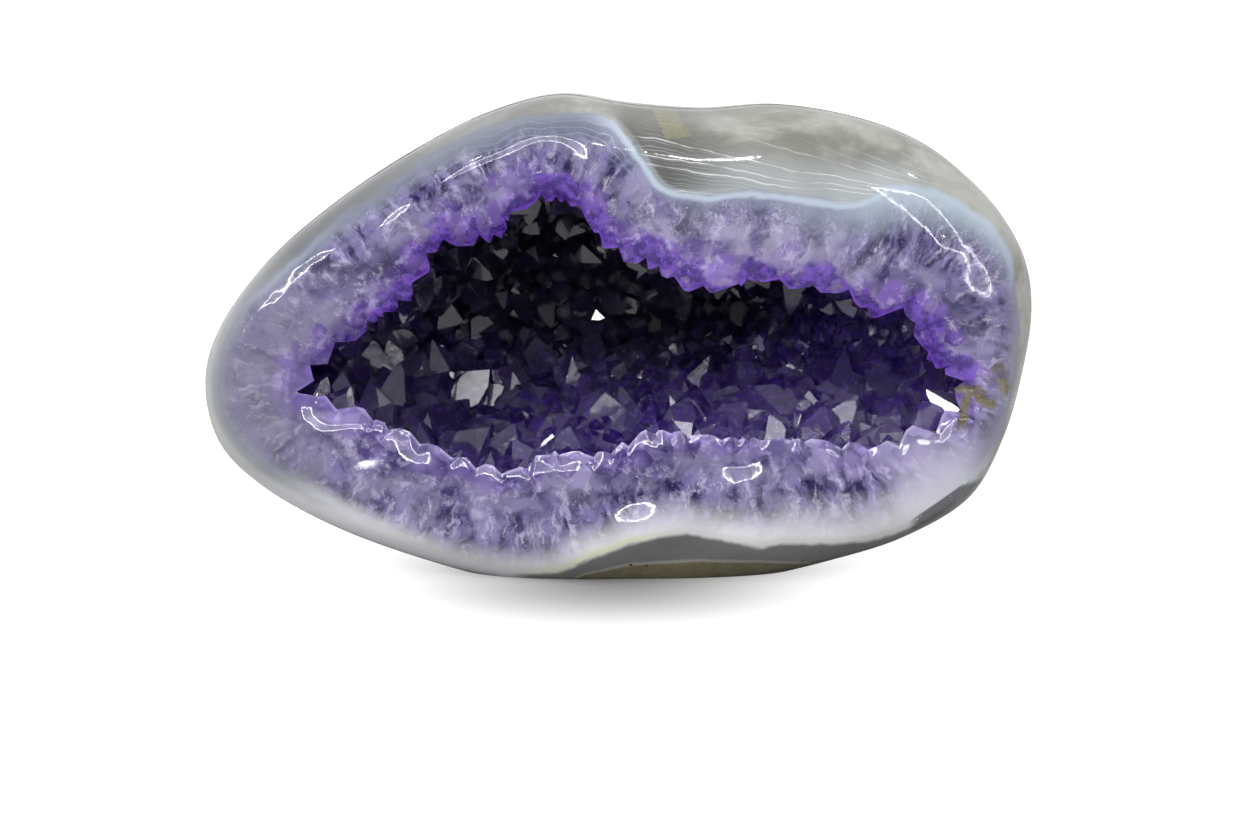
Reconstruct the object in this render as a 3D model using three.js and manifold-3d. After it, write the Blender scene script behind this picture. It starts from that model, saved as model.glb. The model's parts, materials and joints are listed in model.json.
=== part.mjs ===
// Half of an amethyst geode, ground round and polished all over, with its hollow open to the front.
// Millimetres. +X runs along the length, +Y from the open front to the back, +Z up. It stands on a small
// flat cut under its belly, and the origin is on that plane, under the middle of the stone.
// Two pieces: the stone itself (agate rind, pale chalcedony and massive quartz, one grown body with the
// hollow in it) and the crust of amethyst crystals that lines the hollow.

import * as THREE from "three";
import { mergeVertices } from "three/addons/utils/BufferGeometryUtils.js";
import Module from "manifold-3d";

const wasm = await Module();
wasm.setup();
const { Manifold, Mesh } = wasm;

// Driving dimensions.
const FRONT_RISE = 21; // from the widest section forward to the crest of the rim
const BACK_DEPTH = 50; // from the widest section back to the rear of the stone
const HOLLOW_REAR = 27; // rear of the hollow in the stone, behind the widest section
const CRYSTAL_BAND = 4.6; // how far the cut crystals reach in from the stone's rim to the mouth line
const RIM_DROP = 4.6; // how far the rounded rim falls back from its crest at the mouth line
const CREST_AT = 0.46; // the crest's place between mouth line (0) and outline (1)
const FACE_REACH = 11; // how quickly the polished face sinks into the hollow over the cut crystals
const FACE_BOTTOM = -3; // where that face ends, in the middle of the mouth
const FIT_GAP = 0.35; // between the crust and the stone
const CRUST_WALL = 1.7; // thickness of the crust between crystals
const BASE_CUT = 1; // height of the flat cut that it stands on, in the outlines below
const BALANCE_SHIFT = -14.5; // moves the whole stone along Y, so that its box is centred on the origin

const CENTRE = { x: 2, z: 41 }; // middle of the hollow, in front view
// Front view outline of the stone at its widest, [x, z]. Its lowest stretch is taken off by the base cut.
const OUTLINE = [
  [-10.6, 87], [2.2, 85.2], [14.9, 84.4], [28.6, 85.2], [44, 82.6], [55, 78.2],
  [63.2, 72], [70.1, 64.4], [73.9, 56.6], [75, 48], [73.4, 36.8], [70.1, 24.9],
  [64.3, 14.2], [52.4, 6.8], [38.8, 2.4], [25, -0.7], [4, -2.1], [-20, -1.2], [-36, 2.8],
  [-52.4, 8.8], [-65.2, 16], [-72.6, 23.5], [-75.2, 34], [-73, 43.6], [-64.6, 55.6],
  [-52.4, 66.4], [-36.4, 77.2], [-23.3, 83.8],
];
// Mouth of the hollow, [x, z]: the line that the cut crystals' tips keep to.
const MOUTH = [
  [-57, 35], [-49, 44], [-43, 48], [-36, 54], [-32, 61.5], [-21, 63], [-19, 67], [-13, 69.9],
  [-5, 67], [-2, 61.5], [5.7, 58], [12.8, 54], [20, 53.5], [24.5, 55.8], [31.6, 53.8],
  [39.6, 53.5], [45.6, 49], [51, 49.5], [53.7, 44.8], [56.5, 39.5], [60.5, 38], [60.7, 31.3],
  [52, 27], [45, 25.2], [32.4, 26.7], [18.2, 27.1], [6.6, 28.2], [-3.2, 24.3], [-12, 24.4],
  [-19.2, 21], [-30, 24], [-39, 28], [-46, 31], [-55, 33.8],
];

// Crystals in the crust.
const MOUTH_CRYSTALS = 34;
const MOUTH_TURN = 0.045; // how deep in the wall the row along the mouth is rooted
const WALL_TURN = 0.12; // where the others begin
const CRYSTAL_SPACING = 11.2;
const CRYSTAL_TRIES = 5000;

// Mesh fineness.
const AROUND = 52;
const RIM_STEPS = 9;
const BACK_STEPS = 8;
const WALL_STEPS = 6;
const FACE_STEPS = 3;

const random = (() => {
  let state = 20417;
  return () => {
    state = (state + 0x6d2b79f5) | 0;
    let t = Math.imul(state ^ (state >>> 15), 1 | state);
    t = (t + Math.imul(t ^ (t >>> 7), 61 | t)) ^ t;
    return ((t ^ (t >>> 14)) >>> 0) / 4294967296;
  };
})();
const between = (low, high) => low + (high - low) * random();

// Radius of a closed outline around CENTRE, by angle, from a smooth curve through its points.
function radiusTable(points) {
  const curve = new THREE.CatmullRomCurve3(
    points.map(([x, z]) => new THREE.Vector3(x, 0, z)), true, "centripetal");
  const samples = curve.getPoints(1440).slice(0, -1).map((p) => {
    const dx = p.x - CENTRE.x;
    const dz = p.z - CENTRE.z;
    return { angle: Math.atan2(dz, dx), radius: Math.hypot(dx, dz) };
  }).sort((a, b) => a.angle - b.angle);
  return (angle) => {
    const wrapped = Math.atan2(Math.sin(angle), Math.cos(angle));
    const after = samples.findIndex((s) => s.angle > wrapped);
    const b = samples[after < 0 ? 0 : after];
    const a = samples[after <= 0 ? samples.length - 1 : after - 1];
    const span = (b.angle - a.angle + 2 * Math.PI) % (2 * Math.PI);
    const share = span ? ((wrapped - a.angle + 2 * Math.PI) % (2 * Math.PI)) / span : 0;
    return a.radius + (b.radius - a.radius) * share;
  };
}
const outlineRadius = radiusTable(OUTLINE);
const mouthRadius = radiusTable(MOUTH);

const place = (angle, radius, y) =>
  new THREE.Vector3(CENTRE.x + radius * Math.cos(angle), y, CENTRE.z + radius * Math.sin(angle));

// How far the rim's crest lies behind the front plane: the two ends and the top bend back.
function bendBack(x, z) {
  const end = x < 0 ? 9 * (x / -75) ** 2 : 6 * (x / 75) ** 2;
  const top = 3.5 * Math.max(0, (z - CENTRE.z) / 46) ** 2;
  return end + top;
}

// The polished front. share runs from the mouth line (0) out to the outline (1).
function rimPoint(angle, share) {
  const mouth = mouthRadius(angle);
  const radius = mouth + (outlineRadius(angle) - mouth) * share;
  const p = place(angle, radius, 0);
  const crest = -FRONT_RISE + bendBack(p.x, p.z);
  if (share >= CREST_AT) {
    const out = Math.min(1, (share - CREST_AT) / (1 - CREST_AT));
    p.y = crest * (1 - out ** 2.5) ** (1 / 2.5);
  } else {
    p.y = crest + RIM_DROP * ((CREST_AT - share) / CREST_AT) ** 2;
  }
  return p;
}

// The rear of the stone, from the outline (0) to its rearmost point (1), with broad soft lumps.
function backPoint(angle, turn) {
  const swell = 1 + 0.02 * Math.sin(3 * angle + 0.6) * Math.sin(Math.PI * turn)
    + 0.015 * Math.sin(5 * angle + 4 * turn);
  const radius = outlineRadius(angle) * Math.cos((turn * Math.PI) / 2) ** 0.86;
  const fade = 1 + (swell - 1) * Math.min(1, 4 * turn);
  return place(angle, radius * fade, BACK_DEPTH * Math.sin((turn * Math.PI) / 2) ** 0.92);
}

// Share of the rim's width where the stone ends and the cut crystals begin.
const stoneEdge = (angle) =>
  CRYSTAL_BAND / (outlineRadius(angle) - mouthRadius(angle));

// The hollow's wall in the stone, from its edge at the rim (0) to the rear (1). It widens a little first.
function wallPoint(angle, turn) {
  const edge = rimPoint(angle, stoneEdge(angle));
  const radius = mouthRadius(angle) + CRYSTAL_BAND;
  const phase = (turn * Math.PI) / 2;
  const opened = radius * Math.cos(phase) ** 0.72 * (1 + 0.1 * Math.sin(2 * phase));
  return place(angle, opened, edge.y + (HOLLOW_REAR - edge.y) * Math.sin(phase) ** 1.05);
}

// Unit vector from the wall into the hollow.
function wallNormal(angle, turn) {
  const step = 0.01;
  const t = Math.min(turn, 1 - 2 * step);
  const along = wallPoint(angle + step, t).sub(wallPoint(angle - step, t));
  const deeper = wallPoint(angle, t + step).sub(wallPoint(angle, Math.max(0, t - step)));
  return along.cross(deeper).normalize();
}

// The wall moved into the hollow by a distance.
const linedPoint = (angle, turn, inset) =>
  turn >= 1
    ? new THREE.Vector3(CENTRE.x, HOLLOW_REAR - inset, CENTRE.z)
    : wallPoint(angle, turn).addScaledVector(wallNormal(angle, turn), inset);

// A closed skin from a list of rings, each a function of the angle, and a pole point at each end.
function skin(firstPole, rings, lastPole) {
  const points = [firstPole];
  for (const ring of rings)
    for (let i = 0; i < AROUND; i++) points.push(ring((2 * Math.PI * i) / AROUND));
  points.push(lastPole);
  const last = points.length - 1;
  const at = (ring, i) => 1 + ring * AROUND + (i % AROUND);
  const faces = [];
  for (let i = 0; i < AROUND; i++) {
    faces.push(0, at(0, i + 1), at(0, i));
    for (let k = 0; k + 1 < rings.length; k++) {
      faces.push(at(k, i), at(k, i + 1), at(k + 1, i));
      faces.push(at(k, i + 1), at(k + 1, i + 1), at(k + 1, i));
    }
    faces.push(last, at(rings.length - 1, i), at(rings.length - 1, i + 1));
  }
  return solid(points, faces);
}

// A manifold solid from points and triangles, turned right side out.
function solid(points, faces) {
  const make = (triangles) => new Manifold(new Mesh({
    numProp: 3,
    vertProperties: new Float32Array(points.flatMap((p) => [p.x, p.y, p.z])),
    triVerts: new Uint32Array(triangles),
  }));
  const made = make(faces);
  if (made.volume() > 0) return made;
  const turned = [];
  for (let i = 0; i < faces.length; i += 3) turned.push(faces[i], faces[i + 2], faces[i + 1]);
  return make(turned);
}

// A three.js geometry as a manifold solid.
function solidOf(geometry) {
  geometry.deleteAttribute("normal");
  geometry.deleteAttribute("uv");
  const merged = mergeVertices(geometry, 1e-4);
  return new Manifold(new Mesh({
    numProp: 3,
    vertProperties: merged.attributes.position.array,
    triVerts: new Uint32Array(merged.index.array),
  }));
}

const ringsOf = (count, make) => Array.from({ length: count }, (_, i) => make(i));
const shareOfRim = (angle, k) => {
  const edge = stoneEdge(angle);
  return edge + (1 - edge) * Math.sin(((k / RIM_STEPS) * Math.PI) / 2) ** 1.15;
};

// The stone: hollow's rear, up its wall, over the rim, round the back.
function makeStone() {
  const wall = ringsOf(WALL_STEPS, (k) => (angle) => wallPoint(angle, 1 - (k + 1) / (WALL_STEPS + 1)));
  const rim = ringsOf(RIM_STEPS + 1, (k) => (angle) => rimPoint(angle, shareOfRim(angle, k)));
  const back = ringsOf(BACK_STEPS, (k) => (angle) => backPoint(angle, (k + 1) / (BACK_STEPS + 1)));
  const body = skin(
    new THREE.Vector3(CENTRE.x, HOLLOW_REAR, CENTRE.z),
    [...wall, ...rim, ...back],
    new THREE.Vector3(CENTRE.x, BACK_DEPTH, CENTRE.z));
  const room = new THREE.BoxGeometry(400, 400, 400);
  room.translate(0, 0, 200 + BASE_CUT);
  return body.intersect(solidOf(room));
}

// The polished face carried on from the stone's edge over the cut crystals, sinking into the hollow.
function sunkFace(angle, inset, share) {
  const from = linedPoint(angle, 0, inset);
  const radius = Math.hypot(from.x - CENTRE.x, from.z - CENTRE.z);
  const sunk = 1 - Math.exp((-radius * (1 - share)) / FACE_REACH);
  return place(angle, radius * share, from.y + (FACE_BOTTOM - from.y) * sunk);
}

const wallRings = (inset) => ringsOf(WALL_STEPS, (k) => (angle) =>
  linedPoint(angle, 1 - (k + 1) / (WALL_STEPS + 1), inset));
const hollowRear = (inset) => new THREE.Vector3(CENTRE.x, HOLLOW_REAR - inset, CENTRE.z);

// What the crust may fill: the hollow less a gap, closed in front by the polished face.
function crustRoom() {
  const face = ringsOf(FACE_STEPS + 1, (k) => (angle) =>
    sunkFace(angle, FIT_GAP, 1 - (k / (FACE_STEPS + 1)) ** 1.5));
  return skin(
    hollowRear(FIT_GAP),
    [...wallRings(FIT_GAP), ...face],
    new THREE.Vector3(CENTRE.x, FACE_BOTTOM, CENTRE.z));
}

// What the crust's layer leaves free: the same room inside its thickness, open to the front.
function crustInside() {
  const inset = FIT_GAP + CRUST_WALL;
  const mouth = (y) => (angle) => linedPoint(angle, 0, inset).setY(y);
  return skin(
    hollowRear(inset),
    [...wallRings(inset), (angle) => linedPoint(angle, 0, inset), mouth(-2 * FRONT_RISE)],
    new THREE.Vector3(CENTRE.x, -2 * FRONT_RISE, CENTRE.z));
}

// One quartz crystal as a solid: six prism sides, three large and three small tip faces, and a root.
// It stands on the origin, along +Z.
function crystal(radius, height) {
  const planes = [{ n: new THREE.Vector3(0, 0, -1), d: 1 }];
  const tipTilt = THREE.MathUtils.degToRad(51.8); // between the crystal's axis and a tip face's normal
  for (let k = 0; k < 6; k++) {
    const side = (k * Math.PI) / 3;
    planes.push({
      n: new THREE.Vector3(Math.cos(side), Math.sin(side), 0),
      d: radius * between(0.84, 0.98),
    });
    const small = k % 2 ? between(0.5, 1.6) : 0;
    planes.push({
      n: new THREE.Vector3(
        Math.sin(tipTilt) * Math.cos(side), Math.sin(tipTilt) * Math.sin(side), Math.cos(tipTilt)),
      d: Math.cos(tipTilt) * (height + small),
    });
  }
  return fromPlanes(planes);
}

// The convex solid inside a set of planes.
function fromPlanes(planes) {
  const corners = [];
  for (let i = 0; i < planes.length; i++)
    for (let j = i + 1; j < planes.length; j++)
      for (let k = j + 1; k < planes.length; k++) {
        const [a, b, c] = [planes[i], planes[j], planes[k]];
        const bc = b.n.clone().cross(c.n);
        const volume = a.n.dot(bc);
        if (Math.abs(volume) < 1e-6) continue;
        const p = bc.multiplyScalar(a.d)
          .addScaledVector(c.n.clone().cross(a.n), b.d)
          .addScaledVector(a.n.clone().cross(b.n), c.d)
          .divideScalar(volume);
        if (planes.every((q) => q.n.dot(p) < q.d + 1e-5)) corners.push(p);
      }
  return Manifold.hull(corners.map((p) => [p.x, p.y, p.z]));
}

// A crystal rooted in the wall at an angle and turn, leaning a little at random.
function rootedCrystal(angle, turn, radius, height, lean) {
  const inward = wallNormal(angle, turn)
    .add(new THREE.Vector3(between(-lean, lean), between(-lean, lean), between(-lean, lean)))
    .normalize();
  const upright = new THREE.Quaternion().setFromUnitVectors(new THREE.Vector3(0, 0, 1), inward);
  const spun = new THREE.Quaternion().setFromAxisAngle(new THREE.Vector3(0, 0, 1), between(0, Math.PI));
  const placed = new THREE.Matrix4().compose(
    wallPoint(angle, turn), upright.multiply(spun), new THREE.Vector3(1, 1, 1));
  return crystal(radius, height).transform(placed.elements);
}

// The row along the mouth, which the polished face cuts into teeth: angles evenly spaced along the edge.
function mouthRow() {
  const edge = new THREE.CatmullRomCurve3(
    ringsOf(180, (i) => wallPoint((2 * Math.PI * i) / 180, MOUTH_TURN)), true);
  return edge.getSpacedPoints(MOUTH_CRYSTALS).slice(0, -1).map((p) => ({
    p, angle: Math.atan2(p.z - CENTRE.z, p.x - CENTRE.x), turn: MOUTH_TURN,
  }));
}

// More places on the wall, no two nearer than the spacing, spread evenly over its area.
function fillWall(kept) {
  for (let n = 0; n < CRYSTAL_TRIES; n++) {
    const angle = between(0, 2 * Math.PI);
    const turn = Math.acos(between(0, Math.cos((WALL_TURN * Math.PI) / 2))) / (Math.PI / 2);
    const p = wallPoint(angle, turn);
    if (kept.every((k) => k.p.distanceTo(p) > CRYSTAL_SPACING)) kept.push({ p, angle, turn });
  }
  return kept;
}

// The crust: a thin layer all over the hollow's wall, with crystals grown out of it.
function makeCrust() {
  const room = crustRoom();
  const layer = room.subtract(crustInside());
  const crystals = fillWall(mouthRow()).map(({ angle, turn }) =>
    turn === MOUTH_TURN
      ? rootedCrystal(angle, turn, between(3.8, 5.2), between(5, 8.4), 0.12)
      : rootedCrystal(angle, turn, between(5.6, 7.2), between(7, 10.5), 0.3));
  return Manifold.union([layer, ...crystals]).intersect(room);
}

function meshOf(made, name, material) {
  const data = made.getMesh();
  const geometry = new THREE.BufferGeometry();
  geometry.setAttribute("position", new THREE.BufferAttribute(data.vertProperties, 3));
  geometry.setIndex(new THREE.BufferAttribute(data.triVerts, 1));
  geometry.computeVertexNormals();
  const mesh = new THREE.Mesh(geometry, material);
  mesh.name = name;
  return mesh;
}

const stoneMaterial = new THREE.MeshStandardMaterial({ color: 0x9a9aa0, roughness: 0.12, metalness: 0 });
const crystalMaterial = new THREE.MeshStandardMaterial({ color: 0x4b2c86, roughness: 0.05, metalness: 0 });

const geode = new THREE.Group();
geode.add(meshOf(makeStone(), "geode_stone", stoneMaterial));
geode.add(meshOf(makeCrust(), "amethyst_crust", crystalMaterial));
geode.position.set(0, BALANCE_SHIFT, -BASE_CUT);

export default geode;
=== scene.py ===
import json
import math

import bmesh
import bpy
import numpy as np
from mathutils import Matrix

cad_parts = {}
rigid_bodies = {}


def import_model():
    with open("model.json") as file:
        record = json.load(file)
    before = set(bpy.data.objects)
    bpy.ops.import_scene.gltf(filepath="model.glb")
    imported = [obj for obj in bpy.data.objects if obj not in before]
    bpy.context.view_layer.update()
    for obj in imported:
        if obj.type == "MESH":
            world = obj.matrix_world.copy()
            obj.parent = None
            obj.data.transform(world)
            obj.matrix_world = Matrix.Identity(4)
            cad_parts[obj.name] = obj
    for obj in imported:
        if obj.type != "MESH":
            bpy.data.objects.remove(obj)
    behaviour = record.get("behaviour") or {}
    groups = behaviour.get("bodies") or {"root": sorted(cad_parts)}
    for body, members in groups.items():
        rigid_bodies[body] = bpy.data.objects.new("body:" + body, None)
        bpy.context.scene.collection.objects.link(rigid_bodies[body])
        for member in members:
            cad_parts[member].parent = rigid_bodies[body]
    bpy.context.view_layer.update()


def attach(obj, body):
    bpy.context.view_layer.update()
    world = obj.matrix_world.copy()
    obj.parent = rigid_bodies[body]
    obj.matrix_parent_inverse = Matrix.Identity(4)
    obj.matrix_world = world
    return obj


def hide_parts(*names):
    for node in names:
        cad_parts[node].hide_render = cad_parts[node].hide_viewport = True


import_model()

# Driving dimensions, in millimetres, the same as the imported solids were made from.
MM = 0.001
FRONT_RISE = 21.0  # from the widest section forward to the crest of the rim
BACK_DEPTH = 50.0  # from the widest section back to the rear of the stone
HOLLOW_REAR = 27.0  # rear of the hollow, behind the widest section
CRYSTAL_BAND = 4.6  # from the mouth line out to the hollow's wall
RIM_DROP = 4.6  # how far the rounded rim falls back from its crest at the mouth line
CREST_AT = 0.46  # the crest's place between mouth line (0) and outline (1)
FACE_BOTTOM = -3.0  # where the ground face ends, in the middle of the mouth
FACE_REACH = 11.0  # how fast the ground face levels off on its way into the mouth
BASE_CUT = 1.0  # how much is cut off flat under the belly
BALANCE_SHIFT = -14.5  # from the widest section to the part's origin, over its balance point
CENTRE = np.array((2.0, 41.0))  # the hollow's middle, seen from the front
OUTLINE = [
    (-10.6, 87), (2.2, 85.2), (14.9, 84.4), (28.6, 85.2), (44, 82.6), (55, 78.2), (63.2, 72),
    (70.1, 64.4), (73.9, 56.6), (75, 48), (73.4, 36.8), (70.1, 24.9), (64.3, 14.2), (52.4, 6.8),
    (38.8, 2.4), (25, -0.7), (4, -2.1), (-20, -1.2), (-36, 2.8), (-52.4, 8.8), (-65.2, 16),
    (-72.6, 23.5), (-75.2, 34), (-73, 43.6), (-64.6, 55.6), (-52.4, 66.4), (-36.4, 77.2),
    (-23.3, 83.8),
]
MOUTH = [
    (-57, 35), (-49, 44), (-43, 48), (-36, 54), (-32, 61.5), (-21, 63), (-19, 67), (-13, 69.9),
    (-5, 67), (-2, 61.5), (5.7, 58), (12.8, 54), (20, 53.5), (24.5, 55.8), (31.6, 53.8),
    (39.6, 53.5), (45.6, 49), (51, 49.5), (53.7, 44.8), (56.5, 39.5), (60.5, 38), (60.7, 31.3),
    (52, 27), (45, 25.2), (32.4, 26.7), (18.2, 27.1), (6.6, 28.2), (-3.2, 24.3), (-12, 24.4),
    (-19.2, 21), (-30, 24), (-39, 28), (-46, 31), (-55, 33.8),
]
# Outer edge of the pale chalcedony band, against the grey agate.
BAND = [
    (-72, 36), (-70.8, 43), (-66, 51.4), (-58.9, 57.6), (-49, 66.7), (-43.1, 70.3), (-38, 74.1),
    (-29, 79.4), (-21.7, 82.4), (-13.7, 84.4), (-6.4, 84.6), (-2.8, 84), (0, 82.6), (2.6, 80),
    (5.4, 75.8), (7.2, 73), (9.7, 71.3), (15.1, 70.9), (22.3, 71.2), (29.6, 70.8), (35.6, 69.7),
    (42.8, 69.7), (49, 72.3), (53.9, 71.6), (58.1, 70.1), (62.3, 67.8), (66.6, 64.6),
    (70, 59.5), (71, 52), (71.6, 44.2), (70.8, 36), (69.4, 29), (66.8, 22.6), (62.8, 17.4),
    (56.1, 12.2), (46.9, 8.2), (40, 7.8), (34, 8), (29.3, 8.4), (26.2, 7.7), (21.6, 8.5),
    (14.6, 9.6), (11.7, 10.2), (5.9, 9.4), (2, 8.3), (-1.8, 7), (-5.7, 5.4), (-9.5, 3.4),
    (-16, 2.2), (-30, 5), (-42.6, 9.6), (-54.5, 16), (-60.3, 19.2), (-67.6, 24.4), (-71.4, 30.6),
]
# Weathered cracks at the right end, filled with buff clay.
CREVICES = [
    [(60.8, 35.4), (63.4, 35.2), (65.2, 33.4), (67.0, 32.8)], [(62.6, 35.2), (62.0, 32), (61.4, 28.8)],
    [(67.8, 39.2), (68.8, 36.6), (69.6, 34.8)],
]
CREVICE_DEPTH = 1.5
# The thin line between the grey agate and the olive layer at the bottom.
OLIVE_LINE = [(-14, -3), (-6, 2.4), (2, 4.3), (14.6, 5.0), (25.4, 4.6), (34, 3.6), (44, -2)]
PATCH = [(6.1, 84.9), (9.9, 84.9), (13.0, 80.6), (8.5, 79.9)]  # of buff rock at the top, clockwise
# Width of the pale band by the direction from the hollow's middle: degrees from +X, millimetres.
PALE_WIDTH = [
    (-180, 3.0), (-150, 4.0), (-125, 5.0), (-100, 6.5), (-70, 7.0), (-48, 7.5), (-28, 9.5), (-14, 5.0),
    (8, 3.0), (20, 6.0), (28, 9.0), (38, 7.5), (48, 4.5), (70, 3.5), (84, 3.0), (92, 4.5), (104, 6.5),
    (118, 5.0), (135, 4.0), (160, 3.0), (180, 3.0),
]

# The camera, and where the photograph's frame has the middle of the stone.
PHOTO = (1248, 832)
STONE_AT = (618, 336)
LENS = 100.0
SENSOR = 36.0
CAMERA_DISTANCE = 0.632
CAMERA_RISE = math.radians(8)
LAMP_TARGET = (0.0, 0.0, 0.03)  # in metres
FLOOR_HALF = 3.0  # half the floor's side, in metres
FAN_AT = (72.0, 66.0)  # where the agate's white lines run together
DEGREES = 57.3  # in one radian
QUARTZ_IOR = 1.54
CRYSTAL_IOR = 1.544
# Where painted shade darkens the hollow's crystals, under its roof and on its left: its middle in
# millimetres, one over its reach each way, and how violet they stay in the middle of it.
PAINTED_SHADE_ZONES = [
    ((-4.0, 0.0, 51.0), (1 / 40, 0.0, 1 / 19), 0.0), ((-30.0, 0.0, 34.0), (1 / 22, 0.0, 1 / 11), 0.32)]
SHADOW_AT = (-1.0, -34.0, 0.0)  # middle of the shadow on the floor, in millimetres
SHADOW_SCALE = (1 / 58, 1 / 58, 0.0)
STONE_MIDDLE = np.array((0.0, BALANCE_SHIFT * MM, 0.042))  # what the camera turns round, in metres


def tone(red, green, blue):
    """A linear colour from the 0 to 255 values that the eye reads."""
    share = np.array((red, green, blue)) / 255
    linear = np.where(share <= 0.04045, share / 12.92, ((share + 0.055) / 1.055) ** 2.4)
    return (*linear.tolist(), 1.0)


# Shape of the stone

def smooth_loop(points, count):
    """A closed centripetal curve through points."""
    points = np.array(points, float)
    n = len(points)
    steps = np.arange(max(2, count // n)) / max(2, count // n)
    t = steps[:, None]
    made = []
    for i in range(n):
        p0, p1, p2, p3 = (points[(i + k) % n] for k in (-1, 0, 1, 2))
        pairs = ((p0, p1), (p1, p2), (p2, p3))
        d01, d12, d23 = (np.linalg.norm(b - a) ** 0.5 for a, b in pairs)
        leave = ((p1 - p0) / d01 - (p2 - p0) / (d01 + d12) + (p2 - p1) / d12) * d12
        reach = ((p2 - p1) / d12 - (p3 - p1) / (d12 + d23) + (p3 - p2) / d23) * d12
        made.append(
            p1 + leave * t
            + (-3 * p1 + 3 * p2 - 2 * leave - reach) * t ** 2
            + (2 * p1 - 2 * p2 + leave + reach) * t ** 3)
    return np.concatenate(made)


def polar_radius(points):
    """The radius of a closed line round the hollow's middle, as a function of the angle."""
    around = smooth_loop(points, 1440) - CENTRE
    angle = np.arctan2(around[:, 1], around[:, 0])
    order = np.argsort(angle)
    angle, radius = angle[order], np.hypot(around[:, 0], around[:, 1])[order]
    return lambda a: np.interp(a, angle, radius, period=2 * np.pi)


outline_radius = polar_radius(OUTLINE)
mouth_radius = polar_radius(MOUTH)
band_radius = polar_radius(BAND)


def pale_width(angle):
    """The pale band's width in a direction from the hollow's middle."""
    degrees, width = zip(*PALE_WIDTH)
    return np.interp(np.degrees(angle), degrees, width, period=360)


def softened(line, reach):
    """A closed line with its wiggles shorter than reach taken out, at even steps."""
    closed = np.concatenate((line, line[:1]))
    along = np.concatenate(([0], np.cumsum(np.linalg.norm(np.diff(closed, axis=0), axis=1))))
    even = np.linspace(0, along[-1], 1201)[:-1]
    line = np.stack([np.interp(even, along, closed[:, i]) for i in (0, 1)], -1)
    wave = np.fft.rfftfreq(len(even), even[1])
    keep = np.exp(-2 * (np.pi * wave * reach) ** 2)
    return np.fft.irfft(np.fft.rfft(line, axis=0) * keep[:, None], len(even), axis=0)


def away_from(line, points):
    """Distance from points to a closed line, without creases, and the way round it as a unit vector."""
    after = np.roll(line, -1, 0)
    step = np.linalg.norm(after - line, axis=1)
    phase = 2 * np.pi * np.concatenate(([0], np.cumsum(step)[:-1])) / step.sum()
    around = np.stack((np.cos(phase), np.sin(phase)), -1)
    flat = points.reshape(-1, 2)
    distance, way = [], []
    for some in np.array_split(flat, max(1, len(flat) // 3000)):
        gap = ((some[:, None] - line[None]) ** 2).sum(-1) + 0.01
        pull = step / gap ** 2
        distance.append((np.pi / 2 / pull.sum(1)) ** (1 / 3))
        way.append(pull @ around)
    way = np.concatenate(way)
    way /= np.linalg.norm(way, axis=1, keepdims=True)
    return np.concatenate(distance).reshape(points.shape[:-1]), way.reshape(points.shape)


def flat_place(angle, radius):
    """Points seen from the front, from angle and radius round the hollow's middle."""
    angle, radius = np.broadcast_arrays(angle, radius)
    return CENTRE + np.stack((radius * np.cos(angle), radius * np.sin(angle)), -1)


def polar(at):
    """Angle and radius of points round the hollow's middle."""
    off = at - CENTRE
    return np.arctan2(off[..., 1], off[..., 0]), np.hypot(off[..., 0], off[..., 1])


def round_line(line, share):
    """Points on a closed line, at shares of the way along its list."""
    even = np.asarray(share) % 1 * len(line)
    low = np.floor(even).astype(int)
    after = line[(low + 1) % len(line)]
    return line[low % len(line)] + (after - line[low % len(line)]) * (even - low)[..., None]


def outline_facing(share):
    """The angle on the outline that faces each share of the way round the mouth."""
    way = away_from(SOFT_MOUTH, OUTLINE_LINE)[1]
    phase = np.maximum.accumulate(np.unwrap(np.arctan2(way[:, 1], way[:, 0])) / (2 * np.pi))
    step = np.linalg.norm(np.roll(SOFT_MOUTH, -1, 0) - SOFT_MOUTH, axis=1)
    length = np.concatenate(([0], np.cumsum(step))) / step.sum()
    wanted = np.interp(share * len(SOFT_MOUTH), np.arange(len(length)), length)
    places = np.arange(len(phase)) / len(phase)
    phases, stations = (np.concatenate([values + n for n in (-1, 0, 1)]) for values in (phase, places))
    found = np.interp(wanted, phases, stations)
    return polar(round_line(OUTLINE_LINE, found))[0]


OUTLINE_LINE = softened(smooth_loop(OUTLINE, 1440), 0.5)
SOFT_MOUTH = softened(smooth_loop(MOUTH, 1440), 4.0)
BAND_LINE = softened(smooth_loop(BAND, 1440), 0.6)
soft_mouth_radius = polar_radius(SOFT_MOUTH[::12])


def place(angle, radius, y):
    """Points at a depth, from angle and radius round the hollow's middle."""
    return np.stack(np.broadcast_arrays(
        CENTRE[0] + radius * np.cos(angle), y, CENTRE[1] + radius * np.sin(angle)), -1)


def bend_back(x, z):
    """How far the rim's crest lies behind the front plane: the two ends and the top bend back."""
    end = np.where(x < 0, 9.0, 6.0) * (x / 75) ** 2
    top = 3.5 * np.clip((z - CENTRE[1]) / 46, 0, None) ** 2
    return end + top


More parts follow.
